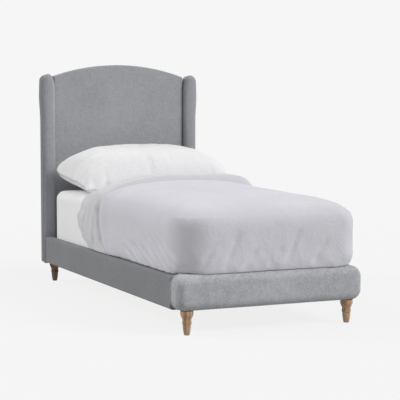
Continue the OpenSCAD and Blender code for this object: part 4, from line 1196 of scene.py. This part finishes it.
def pillow_swell(u, v):
    """How full the pillow is at a place, from 0 to 1; its right end is the fuller one."""
    across = max(1 - abs(u) ** 2.8, 0) ** 0.55 if u < 0 else max(1 - u ** 4, 0) ** 0.38
    return across * max(1 - abs(v) ** 4, 0) ** 0.46


def shares(count):
    """Places from -1 to 1, closer together towards the ends."""
    return [math.sin(math.pi / 2 * (2 * i / count - 1)) for i in range(count + 1)]


def fill_pillow(us, vs):
    """Blows a flat two-faced case up, so that its cloth puckers along the seams.

    Gives how far each point then stands from the smooth form, upper face first.
    """
    n, m = len(us), len(vs)
    points, where = [], {}
    for face in (1, -1):
        for i, u in enumerate(us):
            for j, v in enumerate(vs):
                rim = i in (0, n - 1) or j in (0, m - 1)
                if face < 0 and rim:
                    where[face, i, j] = where[1, i, j]
                    continue
                where[face, i, j] = len(points)
                points.append((PILLOW_W / 2 * u, PILLOW_L / 2 * v, 0 if rim else face * FILL_HALF))
    faces = []
    for face in (1, -1):
        for i in range(n - 1):
            for j in range(m - 1):
                ring = [where[face, i + a, j + b] for a, b in ((0, 0), (1, 0), (1, 1), (0, 1))]
                faces.append(ring[::face])
    piece = mesh_object("filling", points, faces)
    cloth = piece.modifiers.new("cloth", "CLOTH").settings
    cloth.quality = 6
    cloth.mass = 0.25
    cloth.tension_stiffness = 25
    cloth.compression_stiffness = 6
    cloth.shear_stiffness = 4
    cloth.bending_stiffness = 0.15
    cloth.use_pressure = True
    cloth.uniform_pressure_force = 6
    cloth.effector_weights.gravity = 0
    for step in range(FILL_FRAMES):
        world.frame_set(step + 1)
    bpy.ops.object.modifier_apply(modifier="cloth")
    world.frame_set(1)
    blown = {key: piece.data.vertices[index].co.copy() for key, index in where.items()}
    bpy.data.objects.remove(piece)
    smooth = dict(blown)
    for _ in range(FILL_SMOOTHINGS):
        fresh = dict(smooth)
        for (face, i, j), p in smooth.items():
            if 0 < i < n - 1 and 0 < j < m - 1:
                around = smooth[face, i - 1, j] + smooth[face, i + 1, j] \
                    + smooth[face, i, j - 1] + smooth[face, i, j + 1]
                fresh[face, i, j] = p * 0.4 + around * 0.15
        smooth = fresh
    return {key: blown[key] - smooth[key] for key in blown}


def pillow_point(u, v, face, puckers, key):
    """A place on the pillow before it leans back: across, along it, and up from its middle."""
    forward = (1 - v) / 2
    x = PILLOW_W / 2 * u \
        * (1 - PILLOW_DRAW * (1 - v * v) * u * u - PILLOW_FRONT_DRAW * forward ** 2)
    s = PILLOW_L / 2 * v * (1 - PILLOW_DRAW * (1 - u * u) * v * v)
    up = face * (PILLOW_TOP if face > 0 else PILLOW_UNDER) * pillow_swell(u, v)
    x += PILLOW_RIGHT_GAIN * max(u, 0) ** 2 * (1 - 0.25 * forward ** 3)
    s += PILLOW_CORNER_BACK * (max(u, 0) * max(-v, 0)) ** 3
    if u < 0 < v:
        rounding = 1 - PILLOW_TIP_DRAW * (u * v) ** PILLOW_TIP_POWER
        x, s = x * rounding, s * rounding
        up += PILLOW_TIP_LIFT * (u * v) ** 4
    if puckers:
        off = puckers[key]
        off = off * (PUCKER_MOST / (PUCKER_MOST + off.length))
        x, s, up = x + off.x, s + off.y, up + off.z
    return x, s, up


def make_pillow():
    """The pillow and its case, leaning back against the headboard."""
    low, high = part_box("pillowcase")
    headboard_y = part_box("headboard_front_cover")[0][1]
    base_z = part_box("fitted_sheet")[1][2] + LIFT
    mid_y = headboard_y - PILLOW_REAR_GAP - PILLOW_L * math.cos(PILLOW_TILT) / 2
    mid_z = base_z + PILLOW_FRONT_LIFT + PILLOW_L / 2 * math.sin(PILLOW_TILT)
    us, vs = [u * PILLOW_END for u in shares(PILLOW_STATIONS)], shares(PILLOW_GIRTH)
    puckers = fill_pillow(us, vs)
    m = len(vs)
    around = [(-1, j) for j in range(m)] + [(1, j) for j in range(m - 2, 0, -1)]

    def form(with_puckers):
        return Layer([[pillow_point(u, vs[j], face, with_puckers, (face, i, j))
                       for face, j in around] for i, u in enumerate(us)], ringed=True)

    def rise(p):
        """Broad softness, and creases near both front corners."""
        soft = PILLOW_SOFT * (noise.noise(p * 5.5 + Vector((2, 7, 4))) - 0.35)
        folds = PILLOW_FOLD * (ridges(drawn(p, 8, 6, 6), 6.0) - 0.8)
        seam = soft_step(PILLOW_L / 2 - abs(p.y), 0.0, 0.10) \
            * soft_step(PILLOW_W / 2 - abs(p.x), 0.0, 0.10)
        return (soft + folds) * seam - creased(p, PILLOW_CREASES)

    cloth, filling = form(puckers), form(None)
    for layer in (cloth, filling):
        layer.ruffled(rise)

    def placed(p, inset):
        y = mid_y + p.y * math.cos(PILLOW_TILT) - p.z * math.sin(PILLOW_TILT) / 2
        z = mid_z + p.y * math.sin(PILLOW_TILT) + p.z * math.cos(PILLOW_TILT)
        return Vector((min(max(p.x, low[0] + inset), high[0] + PILLOW_RIGHT_GAIN - inset),
                       min(max(y, low[1] + inset), high[1] - inset),
                       min(max(z, base_z + inset), high[2] - inset)))

    def inward(layer, amount):
        return [[placed(p - layer.outward(k, i) * amount, amount) for i, p in enumerate(row)]
                for k, row in enumerate(layer.rows)]

    case = closed_bag("pillowcase_cloth", PILLOW_CLOTH,
                      inward(cloth, 0.0), inward(cloth, CASE_THICK))
    stuffed = closed_bag("pillow_filled", TICKING, inward(filling, FILLING_INSET)[2:-1])
    stands_for(stuffed, "pillow", "ticking", "pillow")
    stands_for(case, "pillow", "linen", "pillowcase")


# ---------------------------------------------------- the frame's own finishes

def dress_frame():
    """Finishes for the solids that stay as they are, by how their names begin."""
    for material, starts in (
            (PLYWOOD, ("headboard_panel",)),
            (PINE_X, ("headboard_arch", "headboard_mid", "headboard_base", "foot_board")),
            (PINE_Y, ("rail_board", "slat_batten")),
            (PINE_Z, ("headboard_post", "wing_core")),
            (LINING, ("headboard_back", "leg_block")),
            (FOOT_CLOTH, ("foot_piping",)),
            (OAK, ("leg_front",)),
            # the rear legs: a darker copy of the oak, painted shade under the bed
            (OAK_PAINTED_SHADE, ("leg_rear",)),
            (STEEL, ("leg_bolts", "leg_tee", "corner_bracket", "bracket_bolts", "wing_bolts")),
            (PLASTIC, ("slat_holders",)),
            (BEECH, ("slat_0", "slat_1"))):
        for name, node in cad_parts.items():
            if name.startswith(starts):
                node.data.materials.clear()
                node.data.materials.append(material)


# --------------------------------------------------------------------- the floor

FLOOR_REACH = 60.0
FLOOR_SEEN = 0.868
FLOOR_GIVEN = 0.40
PAPER_SHARE = 0.90
FADE_FROM = 2.6
FADE_TO = 6.5


def seen(finish):
    """1 where an eye sees it, straight or in a mirror or glass, and 0 for light on its way."""
    rays = [finish.node("ShaderNodeLightPath", output=name)
            for name in ("Is Camera Ray", "Is Glossy Ray", "Is Transmission Ray")]
    return finish.node("ShaderNodeMath", {"operation": "ADD", "use_clamp": True},
                       {0: rays[0] + rays[1], 1: rays[2]})


def make_floor():
    """A plain pale floor that keeps the bed's shadow and turns to plain paper further away."""
    floor = start(bpy.ops.mesh.primitive_plane_add, "studio_floor", size=2 * FLOOR_REACH)
    paper = Finish("studio_paper", 1.0)
    looked_at = seen(paper)
    lit = paper.node("ShaderNodeBsdfDiffuse", values={
        "Color": paper.blend(looked_at, grey(FLOOR_GIVEN), grey(FLOOR_SEEN))})
    plain = paper.node("ShaderNodeEmission", values={
        "Color": paper.blend(looked_at, grey(FLOOR_GIVEN), grey(PAPER))})
    away = paper.node("ShaderNodeVectorMath", {"operation": "LENGTH"}, {0: paper.place()}, "Value")
    share = paper.eased(away, FADE_FROM, FADE_TO) * (1 - PAPER_SHARE) + PAPER_SHARE
    both = paper.node("ShaderNodeMixShader", values={0: share, 1: lit, 2: plain})
    paper.put(paper.tree.nodes["Material Output"].inputs["Surface"], both)
    floor.data.materials.append(paper.material)


AMBIENT = 0.42


def light_room():
    """Even light from all round, a soft key from the front right, and a fill from the left."""
    sky = bpy.data.worlds.new("studio_air")
    world.world = sky
    sky.use_nodes = True
    air = Finish.__new__(Finish)
    air.tree = sky.node_tree
    ground = air.tree.nodes["Background"].inputs
    air.put(ground["Color"], grey(1))
    air.put(ground["Strength"], seen(air) * (PAPER - AMBIENT) + AMBIENT)
    add_sun("key_light", (0.60, -0.55, 0.58), level=0.62, softness=24)
    add_sun("fill_light", (-0.70, 0.50, 0.51), level=0.46, softness=28)


# ------------------------------------------------------------------- the bed

set_camera()
light_room()
make_floor()
dress_frame()
make_headboard()
for side_name, side_mark in (("left", -1), ("right", 1)):
    make_wing(side_name, side_mark)
    make_rail(side_name, side_mark)
make_foot()
make_sheet(make_mattress())
make_blanket()
make_duvet()
make_pillow()

world.view_settings.view_transform = "Standard"
bpy.ops.object.select_all(action="DESELECT")
